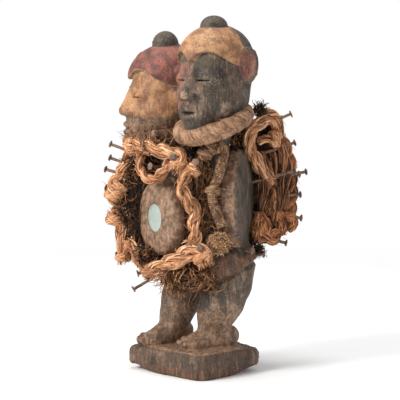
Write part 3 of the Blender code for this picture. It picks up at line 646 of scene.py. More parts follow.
def neck_ring(name, centre, radius, thickness, tilt, turn, wraps, fringe, material):
    """A collar wound with strips that overlap like scales."""
    low_side = Vector((math.cos(turn), math.sin(turn), 0))
    level = np.array(Matrix.Rotation(tilt, 3, Vector((0, 0, 1)).cross(low_side)))
    n, m = 340, 44
    u, v = np.meshgrid(circle(n), circle(m), indexing="ij")
    bend = np.stack([np.cos(u), np.sin(u), np.sin(v)], axis=-1).reshape(-1, 3)
    uneven = 1.7 * value_noise(bend, 0.8, 2).reshape(n, m)
    lap = (wraps * u / math.tau + 0.75 * v / math.tau + 0.16 * uneven) % 1.0
    step = 0.085 * (1 - lap) * smooth_step(0.0, 0.1, lap)
    crumple = value_noise(bend * (1, 1, 1.6), 0.16, 9).reshape(n, m)
    pleat = 0.014 * np.sin(3 * lap * math.tau + 4 * uneven) + 0.035 * crumple
    tube = thickness / 2 * (0.95 + 0.13 * np.cos(u + math.pi / 2) + step + pleat)
    out = radius + tube * np.cos(v)
    rings = np.stack([out * np.cos(u), out * np.sin(u), tube * np.sin(v)], axis=-1)
    rings = rings @ level.T + corner_view(centre)
    grain = np.stack([lap * 15, v * 2.2 + 9 * np.floor(wraps * u / math.tau), u * 0], axis=-1)
    soup = Soup()
    # Tone: painted shade in the crease at each strip's step and across the strip towards the next strip's
    # edge, and painted light on the raised pleats and crumples
    tone = 0.72 - 0.3 * lap + 3 * pleat - 0.8 * smooth_step(0.09, 0.0, lap)
    soup.tube(rings, grain, tone.ravel(), closed=True)
    for _ in range(fringe):
        i, j = random.integers(n), random.integers(m)
        out = unit(rings[i, j] - rings[i].mean(axis=0))
        along = unit(rings[(i + 3) % n, j] - rings[i, j])
        heading = along * random.choice([-1, 1]) + 0.55 * out
        curve = wandering(rings[i, j] - out * 0.4, heading, random.uniform(4, 13), 1.6)
        fibre(soup, curve, random.uniform(0.35, 0.8), tone=random.uniform(0.0, 0.8))
    piece = soup.build(name + "_wrap", material)
    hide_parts(name)


def fibre_mass(middle, half_sizes, strands, lie, length, width):
    """Matted fibre over a lumpy core; the strands lie mainly along lie, in the corner view."""
    middle = np.array(middle, float)
    half = np.array(half_sizes, float)
    rows, columns = 26, 40
    heights = np.linspace(-1, 1, rows) * math.pi / 2 * 0.98
    up, around = np.meshgrid(heights, circle(columns), indexing="ij")
    ball = np.stack([np.cos(up) * np.cos(around), np.cos(up) * np.sin(around), np.sin(up)], axis=-1)
    ball = ball.reshape(-1, 3)
    core = 0.9 * (1 + 0.1 * layered_noise(ball, 0.5, 2, 3)[:, None])
    soup = Soup()
    # The core is toned darkest: painted shade in the gaps between the strands
    soup.tube(corner_view(middle + half * ball * core).reshape(rows, columns, 3), ball * 9, 0.0)
    lie = np.array(lie, float)
    for _ in range(strands):
        at = unit(random.normal(0, 1, 3))
        heading = unit(lie + random.normal(0, 0.55, 3))
        steps = 7
        reach = random.uniform(0.93, 1.07)
        path = []
        for _ in range(steps):
            path.append(middle + half * at * reach)
            at = unit(at + heading * length / steps / half + random.normal(0, 0.05, 3))
            reach += random.uniform(-0.02, 0.035)
        path = corner_view(np.array(path))
        fibre(soup, path, random.uniform(*width), 4, random.uniform(-0.1, 1), 0.5, 0.45)
    return soup


def rosette(points, diameter):
    """A brush of raffia seen end on, its fibres spread round a middle made to look hollow by painted shade on
    its dark core.
    """
    route = smooth_route(points, 1.5)
    way, side, other = (directions[-1] for directions in frames(route)[1:])
    soup = Soup()
    # The core strand is toned dark: painted shade in the middle and in the gaps between the fibres
    strand(soup, route, diameter * 0.4, 28, 14, 0.1, 0.1, 0.1)
    for _ in range(620):
        angle, far = random.uniform(0, math.tau), math.sqrt(random.uniform(0.02, 1))
        lay = round_axis(angle, side, other)
        start = route[-1] + lay * far * diameter * 0.36 - way * (3 + 3 * far)
        heading = way + lay * far * 1.1 + np.cross(way, lay) * 0.7
        curve = wandering(start, heading, random.uniform(4.5, 8.5), 1.1, steps=5)
        fibre(soup, curve, random.uniform(0.8, 1.8), 4, random.uniform(0.1, 1.3), 0.6, 0.5)
    stray_fibres(soup, route, diameter * 0.36, 150, 12, (0.1, 0.8))
    return soup


def hanging_tuft(soup, low, high, count, length, width, fall):
    """Curly roots and threads that start in a box of the corner view and hang down."""
    for _ in range(count):
        start = corner_view(random.uniform(low, high))
        heading = random.normal(0, 1, 3) + (0, 0, -fall)
        curve = wandering(start, heading, random.uniform(0.4, 1) * length, 2.6, sag=0.5, steps=7)
        fibre(soup, curve, random.uniform(*width), tone=random.uniform(0.0, 1.1), taper=0.5)


def ragged_tuft(name, middle, radius, count, material):
    """A small dark tangle of scraps."""
    soup = Soup()
    middle = corner_view(middle)
    for _ in range(count):
        out = unit(random.normal(0, 1, 3))
        start = middle + out * radius * random.uniform(0, 0.6)
        heading = out + random.normal(0, 0.8, 3)
        curve = wandering(start, heading, random.uniform(0.4, 1) * radius, 3.2)
        width, tone = random.uniform(0.6, 2.2), random.uniform(-0.3, 0.7)
        fibre(soup, curve, width, 4, tone, 0.4, 0.4, random.uniform(0, 3))
    soup.build(name, material)


# Iron, glass and wood

def forged_nail(node, material):
    """A forged nail in place of a CAD one, square in the shank, a little bent, with a beaten head."""
    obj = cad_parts[node]
    corners = np.array([obj.matrix_world @ vertex.co for vertex in obj.data.vertices]) / MM - SOLES
    centre = corners.mean(axis=0)
    axis = np.linalg.svd(corners - centre)[2][0]
    along = (corners - centre) @ axis
    out = np.linalg.norm(corners - centre - along[:, None] * axis, axis=1)
    half_way = (along.max() + along.min()) / 2
    if out[along > half_way].max() < out[along < half_way].max():
        axis, along = -axis, -along
    tip, top = centre + axis * along.min(), centre + axis * along.max()
    length = np.linalg.norm(top - tip)
    side = unit(np.cross(axis, (0.1, 0.2, 0.97)))
    other = np.cross(axis, side)
    share = np.concatenate([np.linspace(0, 1, 16)[:-1], [1.0]]) * (length - NAIL_HEAD_HEIGHT) / length
    around = circle(12)
    square = 1 / np.maximum(np.abs(np.cos(around)), np.abs(np.sin(around))) ** 0.7
    rings = []
    bow = random.uniform(-0.8, 0.8)
    for s in share:
        taper = NAIL_SHANK * (0.55 + 0.42 * min(1, s * 2.5))
        radius = taper * 0.88 * square * (1 + 0.08 * random.normal(0, 1, 12))
        rings.append((s * length, radius, bow * math.sin(math.pi * s)))
    ragged = 1 + 0.06 * random.normal(0, 1, 12)
    for height, radius in (
        (-NAIL_HEAD_HEIGHT, 0.78),
        (-NAIL_HEAD_HEIGHT * 0.82, 0.97),
        (-NAIL_HEAD_HEIGHT * 0.4, 1.0),
        (-0.25, 0.86),
    ):
        rings.append((length + height, NAIL_HEAD_RADIUS * radius * ragged, 0.0))
    lay = round_axis(around, side, other)
    points = np.array([
        tip + axis * height + side * shift + radius[:, None] * lay for height, radius, shift in rings])
    soup = Soup()
    soup.tube(points, points, random.uniform(0, 1))
    piece = soup.build(node + "_iron", material)
    piece.data.set_sharp_from_angle(angle=math.radians(50))
    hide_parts(node)


def turned_disc(name, centre, facing, profile, sides, material):
    """A solid turned about its facing, from (radius, height) pairs."""
    axis = unit(np.array(facing, float))
    side = unit(np.cross(axis, (0, 0, 1)))
    lay = round_axis(circle(sides), side, np.cross(axis, side))
    rings = np.array([np.array(centre) + axis * height + lay * radius for radius, height in profile])
    soup = Soup()
    soup.tube(rings, rings, 0.5)
    return soup.build(name, material)


def fine_carving(material):
    """The carved block with its tool marks and cracks, and a mask for each colour laid on it."""
    points, quads = fine_surface(carving, CARVING_LOW, CARVING_HIGH, CARVING_STEP)
    mesh = bpy.data.meshes.new("carving")
    mesh.from_pydata(points.tolist(), [], quads.tolist())
    mesh.update()
    normals = np.empty(len(points) * 3)
    mesh.vertices.foreach_get("normal", normals)
    normals = normals.reshape(-1, 3)
    points = points + normals * tool_marks(points)[:, None]
    points[:, 2] = np.maximum(points[:, 2], -PLINTH_THICKNESS)
    mesh.vertices.foreach_set("co", ((points + SOLES) * MM).ravel())
    mesh.update()
    carved = bpy.data.objects.new("carving", mesh)
    bpy.context.collection.objects.link(carved)
    thinner = carved.modifiers.new("facets", "DECIMATE")
    thinner.ratio = CARVING_TRIANGLES / (2 * len(quads))
    graph = bpy.context.evaluated_depsgraph_get()
    graph.update()
    thin = bpy.data.meshes.new_from_object(carved.evaluated_get(graph))
    bpy.data.objects.remove(carved)
    places = np.empty(len(thin.vertices) * 3)
    thin.vertices.foreach_get("co", places)
    places = places.reshape(-1, 3) / MM - SOLES
    for mask, values in colour_masks(places).items():
        set_attribute(thin, mask, "FLOAT", values)
    figure = finished("figure_carving", thin, material)
    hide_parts("carved_figure")


def tool_marks(p):
    """How far the surface stands off the plain form: adze facets, wear, drying cracks and chips."""
    body = smooth_step(262, 244, p[:, 2])
    facets = np.abs(value_noise(p * (1, 1, 0.6), 13, 11)) * -0.55 * body
    wear = 0.22 * layered_noise(p, 6, 2, 12) * (0.35 + 0.65 * body)
    crack_line = np.abs(layered_noise(p * (1, 1, 0.16), 17, 2, 20))
    cracks = -0.9 * smooth_step(0.045, 0.0, crack_line) * smooth_step(0.1, 0.5, value_noise(p, 30, 25))
    chips = -1.6 * smooth_step(0.5, 0.8, value_noise(p * (1, 1, 1.5), 12, 31)) * smooth_step(-4, -10, p[:, 2])
    return facets + wear + cracks + chips - 0.15


def colour_masks(p):
    """Where each colour lies on the carving, from 0 to 1."""
    p = p.astype(np.float32)
    near = head_space(p, NEAR_HEAD, NEAR_HEAD_TURN)
    far = head_space(p, FAR_HEAD, FAR_HEAD_TURN)
    wander = layered_noise(p, 9, 2, 40)
    on_near = smooth_step(3, 0, head(near, KNOB_ABOVE_NEAR_CROWN)) * smooth_step(-66, -60, near[:, 2])
    on_far = smooth_step(3, 0, head(far, KNOB_ABOVE_FAR_CROWN)) * smooth_step(-66, -60, far[:, 2])
    on_far = on_far * (1 - on_near)
    height = p[:, 2]

    def above_edge(h):
        return h[:, 2] - cap_edge(np.abs(h[:, 0])) - 0.35 * np.maximum(h[:, 1], 0)

    def ball(h, centre, radii):
        return smooth_step(1.25, 0.8, lengths((h - np.array(centre)) / np.array(radii)) + 0.12 * wander)

    def knob(h):
        return smooth_step(19.5, 17.5, np.hypot(h[:, 0], h[:, 1])) * smooth_step(57, 61, h[:, 2])

    edge_near, edge_far = above_edge(near) + 0.7 * wander, above_edge(far) + 0.7 * wander
    ear_place = ear_space(mirrored(near))
    hollow = smooth_step(3.4, 0.6, ear_hollow(ear_place))
    on_ear = smooth_step(1.5, 4.0, ear_place[:, 0]) * smooth_step(26, 23, np.abs(near[:, 2] - 15))
    front_near = smooth_step(9, 3, near[:, 1] + 2.5 * wander - 0.1 * (near[:, 2] - 30))
    bridge = smooth_step(8, 4, np.abs(near[:, 0]) + 2 * wander) * smooth_step(20, 24, near[:, 2])
    bridge = bridge * smooth_step(0, -20, near[:, 1])
    dome_near = np.maximum(smooth_step(-1, 1.5, edge_near) * front_near, bridge) * (1 - knob(near))
    dome_far = smooth_step(-1, 1.5, edge_far) * (1 - knob(far)) * smooth_step(22, 12, far[:, 1])
    socket = ball(mirrored(near), (21, -40, 16), (18, 17, 8)) * smooth_step(1, -1, edge_near) * (1 - bridge)
    left_of_nose = smooth_step(8, -3, near[:, 0] + 2 * wander)
    far_face = smooth_step(16, -12, far[:, 1] + 0.2 * far[:, 2] + 6 * wander)
    far_ochre = far_face * smooth_step(-40, -8, far[:, 2] + 4 * wander)
    far_ochre = far_ochre * (1 - 0.3 * smooth_step(0, 10, far[:, 2]))
    far_jaw = smooth_step(18, -10, far[:, 1]) * (1 - 0.8 * far_ochre) * smooth_step(-62, -48, far[:, 2])
    through, off_axis = axial(p, PLAIN_PACK, unit(np.array(PLAIN_PACK_FACING, float)))
    on_pack = smooth_step(68, 64, off_axis) * smooth_step(-24, -18, through) * smooth_step(20, 17, through)
    depth, off_mirror = axial(p, MIRROR_PACK, unit(np.array(MIRROR_PACK_FACING, float)))
    on_mirror = smooth_step(52, 49, off_mirror) * smooth_step(-18, -14, depth) * smooth_step(17, 14, depth)
    # The mirror pack's right half, which takes a painted shadow of the rope hanging over it
    mirror_shaded_side = smooth_step(-30, -8, DIAGONAL * (p[:, 0] + p[:, 1]))
    legs = smooth_step(100, 88, height) * smooth_step(-3, 1, height)
    # Painted shade over the upper trunk, outside the heads and packs
    in_shade = smooth_step(110, 130, height) * (1 - on_near) * (1 - on_far) * (1 - on_pack) * (1 - on_mirror)
    base = smooth_step(1, -3, height)
    cheek = np.maximum(ball(near, (-22, -32, -14), (26, 28, 28)), ball(near, (-14, -44, 8), (22, 18, 12)))
    dark_cap = smooth_step(-1, 2, edge_near) * (1 - front_near) * (1 - 0.6 * on_ear)
    dark_near = np.maximum(socket * (1 - left_of_nose), 0.9 * np.maximum(dark_cap, knob(near)))
    dark_far = np.maximum(knob(far), smooth_step(12, 22, far[:, 1]) * smooth_step(-20, 10, far[:, 2]))
    brow_and_eye = np.maximum(
        0.34 * ball(near, (14, -40, 50), (22, 18, 14)), 0.36 * ball(near, (26, -38, -3), (15, 16, 5)))
    red_far = np.maximum(smooth_step(0, 10, far[:, 2]), smooth_step(-24, -40, far[:, 2]))
    return {
        "ochre": on_near * dome_near * (1 - on_ear) + on_far * far_ochre * smooth_step(1, -1, edge_far),
        "maroon": on_far * dome_far,
        "cream": on_far * smooth_step(3.0, 1.2, np.abs(edge_far + 0.4)) * smooth_step(10, -5, far[:, 1])
        + 0.7 * on_near * smooth_step(2.2, 0.8, np.abs(edge_near - 0.6)) * smooth_step(2, -12, near[:, 1])
        + 0.5 * on_far * far_jaw * smooth_step(1, -1, edge_far),
        "pink": on_near * np.maximum(0.85 * left_of_nose * cheek, 0.8 * hollow),
        # Dark mask: dark paint on the heads and knobs, plus painted shade on the upper trunk and on the plain
        # pack's outer face, turned from the light
        "soot_and_shade": np.clip(
            on_near * (1 - hollow) * dark_near + on_far * dark_far
            + 0.85 * on_pack * smooth_step(4, 17, through) + 0.9 * in_shade, 0, 1),
        # Pale mask: painted light on the plain pack's inner side and rim, which face the light; dust on the
        # mirror pack, less on its right half under painted shade; on the legs, paler towards the feet; dust
        # on the plinth round the feet
        "dust_and_light": np.clip(
            0.95 * on_pack * smooth_step(15, 0, through) + 0.85 * on_mirror * (1 - 0.6 * mirror_shaded_side)
            + (0.16 + 0.34 * smooth_step(72, 40, height)) * legs
            + 0.5 * smooth_step(10, 2, height) * smooth_step(-6, 0, height), 0, 1),
        "chalk": on_near * np.maximum(0.5 * ball(near, (0, -59, -20), (7, 7, 6)), brow_and_eye),
        # Rust mask: rust on the plinth and hips, brown on the plain pack's inner side, reddish brown on the
        # far head, and a painted shadow on the mirror pack's right half
        "rust_and_shade": np.clip(
            base * smooth_step(-20, -30, height) + 0.4 * base + 0.5 * on_pack * smooth_step(4, -8, through)
            + 0.7 * on_mirror * mirror_shaded_side + 0.4 * on_far * red_far
            + 0.9 * smooth_step(140, 124, height) * smooth_step(-1, 1, above_hem(p)), 0, 1),
    }


# Materials

class Look:
    """A node material, whose calls add nodes and give back their output."""

    def __init__(self, name):
        self.material = bpy.data.materials.new(name)
        self.material.use_nodes = True
        self.tree = self.material.node_tree
        self.shader = self.tree.nodes["Principled BSDF"]

    def put(self, socket, value):
        if isinstance(value, bpy.types.NodeSocket):
            self.tree.links.new(value, socket)
        elif isinstance(value, tuple) and len(value) == 3 and socket.type == "RGBA":
            socket.default_value = (*value, 1.0)
        else:
            socket.default_value = value

    def node(self, kind, out, **inputs):
        node = self.tree.nodes.new("ShaderNode" + kind)
        for name, value in inputs.items():
            self.put(node.inputs[name.replace("_", " ")], value)
        return node.outputs[out]

    def attribute(self, name, out="Fac"):
        node = self.tree.nodes.new("ShaderNodeAttribute")
        node.attribute_name = name
        return node.outputs[out]

    def place(self):
        return self.node("TexCoord", "Object")

    def stretched(self, vector, scale):
        node = self.tree.nodes.new("ShaderNodeMapping")
        self.put(node.inputs["Vector"], vector)
        node.inputs["Scale"].default_value = scale
        return node.outputs["Vector"]

    def noise(self, vector, scale, detail, roughness=0.55, distortion=0.0):
        return self.node("TexNoise", "Fac", Vector=vector, Scale=scale, Detail=detail, Roughness=roughness,
                         Distortion=distortion)

    def math(self, operation, a, b, clamp=False):
        node = self.tree.nodes.new("ShaderNodeMath")
        node.operation = operation
        node.use_clamp = clamp
        self.put(node.inputs[0], a)
        self.put(node.inputs[1], b)
        return node.outputs[0]

    def times(self, a, b):
        return self.math("MULTIPLY", a, b)

    def plus(self, a, b, clamp=False):
        return self.math("ADD", a, b, clamp)

    def spread(self, value, low, high, to_low=0.0, to_high=1.0):
        node = self.tree.nodes.new("ShaderNodeMapRange")
        node.interpolation_type = "SMOOTHSTEP"
        for name, number in (("Value", value), ("From Min", low), ("From Max", high), ("To Min", to_low),
                             ("To Max", to_high)):
            self.put(node.inputs[name], number)
        return node.outputs[0]

    def mix(self, share, a, b):
        node = self.tree.nodes.new("ShaderNodeMix")
        node.data_type = "RGBA"
        self.put(node.inputs[0], share)
        self.put(node.inputs[6], a)
        self.put(node.inputs[7], b)
        return node.outputs[2]

    def stain(self, colour, value, low, high, strength, other):
        """A colour with another laid over it where a value goes from low to high."""
        return self.mix(self.spread(value, low, high, 0.0, strength), colour, other)

    def ramp(self, value, *stops):
        node = self.tree.nodes.new("ShaderNodeValToRGB")
        self.put(node.inputs["Fac"], value)
        elements = node.color_ramp.elements
        while len(elements) < len(stops):
            elements.new(0.5)
        for element, (at, colour) in zip(elements, stops):
            element.position = at
            element.color = (*colour, 1.0)
        return node.outputs["Color"]

    def bump(self, height, distance, strength, below=None):
        node = self.tree.nodes.new("ShaderNodeBump")
        node.inputs["Strength"].default_value = strength
        node.inputs["Distance"].default_value = distance
        self.put(node.inputs["Height"], height)
        if below is not None:
            self.put(node.inputs["Normal"], below)
        return node.outputs["Normal"]

    def finish(self, colour, roughness, normal, **constants):
        self.put(self.shader.inputs["Base Color"], colour)
        self.put(self.shader.inputs["Roughness"], roughness)
        self.put(self.shader.inputs["Normal"], normal)
        for name, value in constants.items():
            self.shader.inputs[name.replace("_", " ")].default_value = value
        return self.material


def srgb(red, green, blue):
    """Linear colour of an eight-bit display colour."""
    return tuple(
        ((c / 255 + 0.055) / 1.055) ** 2.4 if c > 10 else c / 255 / 12.92 for c in (red, green, blue))


def wood_look():
    look = Look("patinated_wood")
    place = look.place()
    upright = look.stretched(place, (1.0, 1.0, 0.22))
    patch = look.noise(place, 26, 3)
    cloud = look.noise(place, 62, 5, 0.62)
    grain = look.noise(upright, 230, 5, 0.65)
    streak = look.noise(upright, 70, 5, 0.62, 0.5)
    speck = look.noise(place, 560, 2, 0.7)
    value = look.plus(look.times(streak, 0.4), look.times(cloud, 0.35))
    value = look.plus(value, look.times(look.noise(upright, 420, 3, 0.6), 0.25))
    colour = look.ramp(
        value, (0.41, srgb(36, 27, 22)), (0.48, srgb(78, 63, 51)), (0.54, srgb(112, 93, 77)),
        (0.61, srgb(158, 136, 116)))
    colour = look.stain(colour, patch, 0.5, 0.62, 0.8, srgb(54, 49, 41))
    # Rust from noise and from the rust mask, which also holds a painted shadow on the mirror pack's right
    # half
    rust_and_shade = look.times(look.spread(look.noise(place, 60, 4, 0.65), 0.5, 0.64), look.spread(grain, 0.4, 0.62))
    rust_and_shade = look.math(
        "MAXIMUM", look.times(rust_and_shade, 0.6),
        look.times(look.attribute("rust_and_shade"), look.spread(cloud, 0.3, 0.52, 0.35, 1.0)))
    brown = look.mix(look.spread(grain, 0.35, 0.65), srgb(56, 34, 24), srgb(120, 80, 54))
    colour = look.mix(rust_and_shade, colour, brown)
    # Layers from the masks; the dark soot layer also lays painted shade, and the pale dust layer painted
    # light
    layers = (
        ("dust_and_light", srgb(180, 142, 112), srgb(114, 84, 64), 150, 0.68),
        ("ochre", srgb(188, 140, 98), srgb(136, 92, 60), 60, 0.95),
        ("maroon", srgb(146, 82, 68), srgb(88, 50, 44), 70, 0.93),
        ("cream", srgb(176, 142, 112), srgb(126, 92, 70), 120, 0.8),
        ("pink", srgb(150, 100, 86), srgb(100, 66, 56), 70, 0.85),
        ("soot_and_shade", srgb(44, 38, 31), srgb(84, 72, 59), 50, 0.92),
        ("chalk", srgb(206, 186, 152), srgb(160, 126, 92), 240, 0.8),
    )
    for name, light, dark, scale, strength in layers:
        wear = look.noise(place, scale * 2.3, 5, 0.68)
        tint = look.mix(look.spread(look.noise(place, scale, 4, 0.6), 0.38, 0.62), light, dark)
        edge = look.plus(look.attribute(name), look.times(look.math("SUBTRACT", wear, 0.5), 0.8))
        laid = look.spread(look.attribute(name), 0.0, 0.2, 0.0, strength)
        colour = look.mix(look.times(look.spread(edge, 0.28, 0.62), laid), colour, tint)
    for value, low, high, strength, other in (
        (grain, 0.56, 0.72, 0.38, srgb(176, 152, 126)),
        (grain, 0.44, 0.3, 0.6, srgb(34, 25, 20)),
        (speck, 0.58, 0.72, 0.4, srgb(172, 150, 126)),
        (speck, 0.45, 0.33, 0.6, srgb(30, 23, 19)),
    ):
        colour = look.stain(colour, value, low, high, strength, other)
    roughness = look.spread(grain, 0.3, 0.7, 0.44, 0.72)
    normal = look.bump(grain, 0.0012, 0.9)
    normal = look.bump(look.noise(place, 330, 4, 0.6), 0.0006, 0.8, normal)
    return look.finish(colour, roughness, normal, Specular_IOR_Level=0.42)


def raffia_look(name, dark, middle, light, roughness=0.72):
    """Dried leaf or root, streaked along its grain and lighter with its tone."""
    look = Look(name)
    grain = look.attribute("grain", "Vector")
    tone = look.attribute("tone")
    line = look.noise(grain, 0.5, 4, 0.62)
    fine = look.noise(grain, 2.2, 3, 0.6)
    value = look.plus(look.times(tone, 0.55), look.times(look.spread(line, 0.34, 0.66), 0.48), clamp=True)
    colour = look.ramp(value, (0.12, dark), (0.5, middle), (0.88, light))
    colour = look.stain(colour, fine, 0.44, 0.32, 0.7, dark)
    colour = look.stain(colour, look.noise(look.place(), 38, 3), 0.55, 0.72, 0.5, dark)
    normal = look.bump(line, 0.0011, 0.9)
    normal = look.bump(fine, 0.0005, 0.8, normal)
    return look.finish(colour, look.spread(line, 0.3, 0.7, roughness - 0.1, roughness + 0.12), normal,
                       Specular_IOR_Level=0.35)


def iron_look():
    look = Look("rusty_iron")
    place = look.place()
    pit = look.noise(place, 420, 5, 0.7)
    patch = look.noise(place, 95, 3)
    colour = look.ramp(pit, (0.34, srgb(50, 38, 34)), (0.5, srgb(104, 82, 70)), (0.66, srgb(160, 132, 112)))
    colour = look.stain(colour, patch, 0.46, 0.6, 0.8, srgb(140, 104, 76))
    colour = look.stain(colour, look.attribute("tone"), 0.6, 1.0, 0.4, srgb(150, 126, 108))
    normal = look.bump(pit, 0.0008, 0.9)
    return look.finish(colour, look.spread(pit, 0.3, 0.7, 0.5, 0.82), normal, Metallic=0.25)


def mirror_look():
    look = Look("old_mirror")
    cloud = look.noise(look.place(), 70, 4)
    colour = look.ramp(
        cloud, (0.3, srgb(158, 170, 164)), (0.55, srgb(170, 182, 174)), (0.75, srgb(180, 188, 178)))
    normal = look.bump(cloud, 0.0004, 0.3)
    return look.finish(colour, look.spread(cloud, 0.3, 0.7, 0.3, 0.5), normal, Metallic=0.2)


def resin_look():
    look = Look("brown_resin")
    lump = look.noise(look.place(), 300, 4)
    colour = look.ramp(lump, (0.35, srgb(60, 44, 33)), (0.65, srgb(128, 104, 82)))
    return look.finish(colour, 0.7, look.bump(lump, 0.0006, 0.8))


def shell_look():
    look = Look("fruit_shell")
    line = look.noise(look.stretched(look.place(), (1, 1, 0.3)), 420, 3)
    colour = look.ramp(line, (0.35, srgb(84, 58, 44)), (0.65, srgb(158, 122, 96)))
    return look.finish(colour, 0.55, look.bump(line, 0.0006, 0.8))


def floor_look():
    look = Look("studio_paper")
    fleck = look.noise(look.place(), 30, 2)
    look.put(look.shader.inputs["Alpha"], look.attribute("fade"))
    colour = look.mix(fleck, (0.93, 0.93, 0.93), (0.96, 0.96, 0.96))
    return look.finish(colour, 0.95, look.bump(fleck, 0.0002, 0.1))


# The figure

wood = wood_look()
iron = iron_look()
raffia = raffia_look("raffia", srgb(62, 29, 14), srgb(206, 143, 98), srgb(252, 210, 168))
old_raffia = raffia_look("old_raffia", srgb(56, 29, 16), srgb(178, 113, 70), srgb(240, 180, 130))
dark_raffia = raffia_look("dark_raffia", srgb(32, 18, 12), srgb(112, 71, 46), srgb(204, 146, 104))
twine = raffia_look("twine", srgb(36, 24, 17), srgb(130, 94, 68), srgb(208, 168, 130), 0.8)
brush_stuff = raffia_look("brush", srgb(48, 30, 19), srgb(184, 138, 96), srgb(244, 204, 160), 0.75)
fibre_stuff = raffia_look("packed_fibre", srgb(22, 15, 11), srgb(70, 45, 30), srgb(150, 104, 66), 0.85)
root_stuff = raffia_look("roots", srgb(34, 21, 14), srgb(116, 75, 48), srgb(212, 160, 112), 0.85)
wrap = raffia_look("collar_wrap", srgb(64, 40, 28), srgb(152, 114, 86), srgb(192, 154, 122), 0.75)
old_wrap = raffia_look("old_collar_wrap", srgb(34, 22, 16), srgb(98, 68, 48), srgb(166, 128, 96), 0.8)

fine_carving(wood)

mirror_facing = unit(np.array(MIRROR_PACK_FACING, float))
mirror_face = np.array(MIRROR_PACK, float) + mirror_facing * (MIRROR_PACK_HALF - MIRROR_SUNK)
glass = ((17.9, -2.4), (17.9, -0.6), (17.3, 0.0), (12, 0.12), (6, 0.2), (0.5, 0.22))
mirror = turned_disc("mirror_plate", mirror_face, MIRROR_PACK_FACING, glass, 64, mirror_look())
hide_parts("mirror_glass")
bead = [(18.3 + 1.0 * math.cos(a), -0.8 + 1.4 * math.sin(a)) for a in np.linspace(-0.9, 3.6, 9)]
rim = turned_disc("mirror_resin", mirror_face, MIRROR_PACK_FACING, bead, 72, resin_look())

for node in sorted(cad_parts):
    if node.startswith("nail_"):
        forged_nail(node, iron)

HANK = "raffia_hank_right"
# Ropes: diameter, spread of the cut end, plies, and route in the corner view. The hank takes only its route.
ROPES = {
    "rope_top": (21.0, 1.25, 2, (
        (-82, -2, 254), (-70, 16, 254), (-55, 34, 253), (-36, 50, 250), (-20, 61, 246),
        (-14, 68, 236), (-19, 72, 227))),
    "rope_loop": (12.5, 1.0, 2, (
        (-66, 26, 243), (-67, 32, 230), (-61, 40, 218), (-50, 46, 214), (-39, 54, 222), (-32, 61, 234))),
    "rope_left_upper": (16.5, 1.3, 2, (
        (-80, -12, 243), (-87, -15, 228), (-96, -20, 213), (-104, -26, 199), (-103, -30, 186),
        (-95, -30, 177))),
    "rope_left_side": (16.5, 1.15, 3, (
        (-106, -34, 166), (-97, -30, 158), (-93, -26, 146), (-93, -23, 132), (-90, -20, 118),
        (-88, -19, 104))),
    "rope_lower_left": (16.5, 1.0, 2, (
        (-83, -10, 131), (-77, -4, 120), (-70, 4, 110), (-62, 12, 100), (-54, 22, 92))),
    "rope_bottom": (21.0, 1.05, 3, (
        (-58, 34, 94), (-46, 43, 101), (-32, 53, 109), (-16, 63, 119), (0, 71, 127),
        (11, 75, 124), (15, 76, 112))),
    "rope_middle": (16.5, 1.0, 2, (
        (2, 72, 228), (-8, 77, 222), (-15, 78, 210), (-12, 76, 198), (-3, 72, 185), (4, 68, 172),
        (0, 68, 159),
        (3, 69, 146), (-4, 70, 135))),
    "rope_right_curl": (16.5, 1.1, 3, (
        (108, -16, 266), (107, -12, 280), (96, -2, 288), (82, 8, 281), (71, 15, 270),
        (70, 14, 256), (77, 6, 238),
        (89, -6, 221), (99, -14, 205))),
    "rope_right_outer": (16.5, 1.2, 2, (
        (112, -28, 262), (119, -30, 246), (124, -33, 228), (127, -35, 208), (127, -36, 188), (125, -35, 170),
        (120, -32, 156))),
    "raffia_hank_right": (29.0, 1.1, 3, (
        (92, -34, 258), (100, -36, 238), (106, -38, 214), (107, -38, 190), (103, -34, 166), (96, -30, 146))),
    "rope_right_lower": (21.0, 1.1, 2, (
        (80, 6, 150), (84, 2, 140), (93, -6, 134), (104, -14, 136), (112, -22, 144))),
    "rope_back_upper": (16.5, 1.1, 3, (
        (92, -66, 240), (70, -80, 226), (44, -88, 216), (14, -90, 214), (-16, -86, 220), (-46, -78, 228),
        (-70, -62, 234))),
    "rope_back_lower": (16.5, 1.1, 3, (
        (96, -58, 168), (70, -76, 156), (40, -86, 150), (8, -88, 152), (-24, -84, 154), (-54, -74, 150),
        (-78, -54, 146))),
}
OLD_ROPES = ("rope_right_outer", "rope_right_lower", "rope_back_upper", "rope_back_lower")
# Knots on the ropes: middle in the corner view, direction, radius, turns and thickness
KNOTS = {
    "rope_left_upper": (
        ((-101, -20, 190), (0.5, 0.1, 0.9), 8.0, 3, 4.4), ((-93, -16, 201), (0.6, 0.2, 0.7), 7.0, 2, 3.6)),
    "rope_left_side": (
        ((-100, -28, 157), (0.3, 0.2, 0.9), 8.0, 3, 4.2), ((-92, -20, 108), (0.1, 0.1, 1), 6.5, 2, 3.2)),
    "rope_top": (
        ((-18, 66, 234), (0.2, 0.2, 0.9), 8.5, 2, 4.0), ((-79, 0, 252), (0.9, 0.3, 0.1), 8.5, 2, 3.6)),
    "rope_middle": (((0, 74, 228), (0.7, -0.2, 0.5), 7.0, 2, 3.4),),
    "rope_bottom": (((11, 75, 120), (0.3, 0.1, -0.9), 9.0, 2, 3.8),),
    "rope_right_curl": (((104, -10, 262), (0.9, -0.3, 0.1), 8.0, 3, 3.8),),
    "rope_right_outer": (((121, -30, 160), (0.2, 0, 1), 8.0, 2, 4.0),),
}
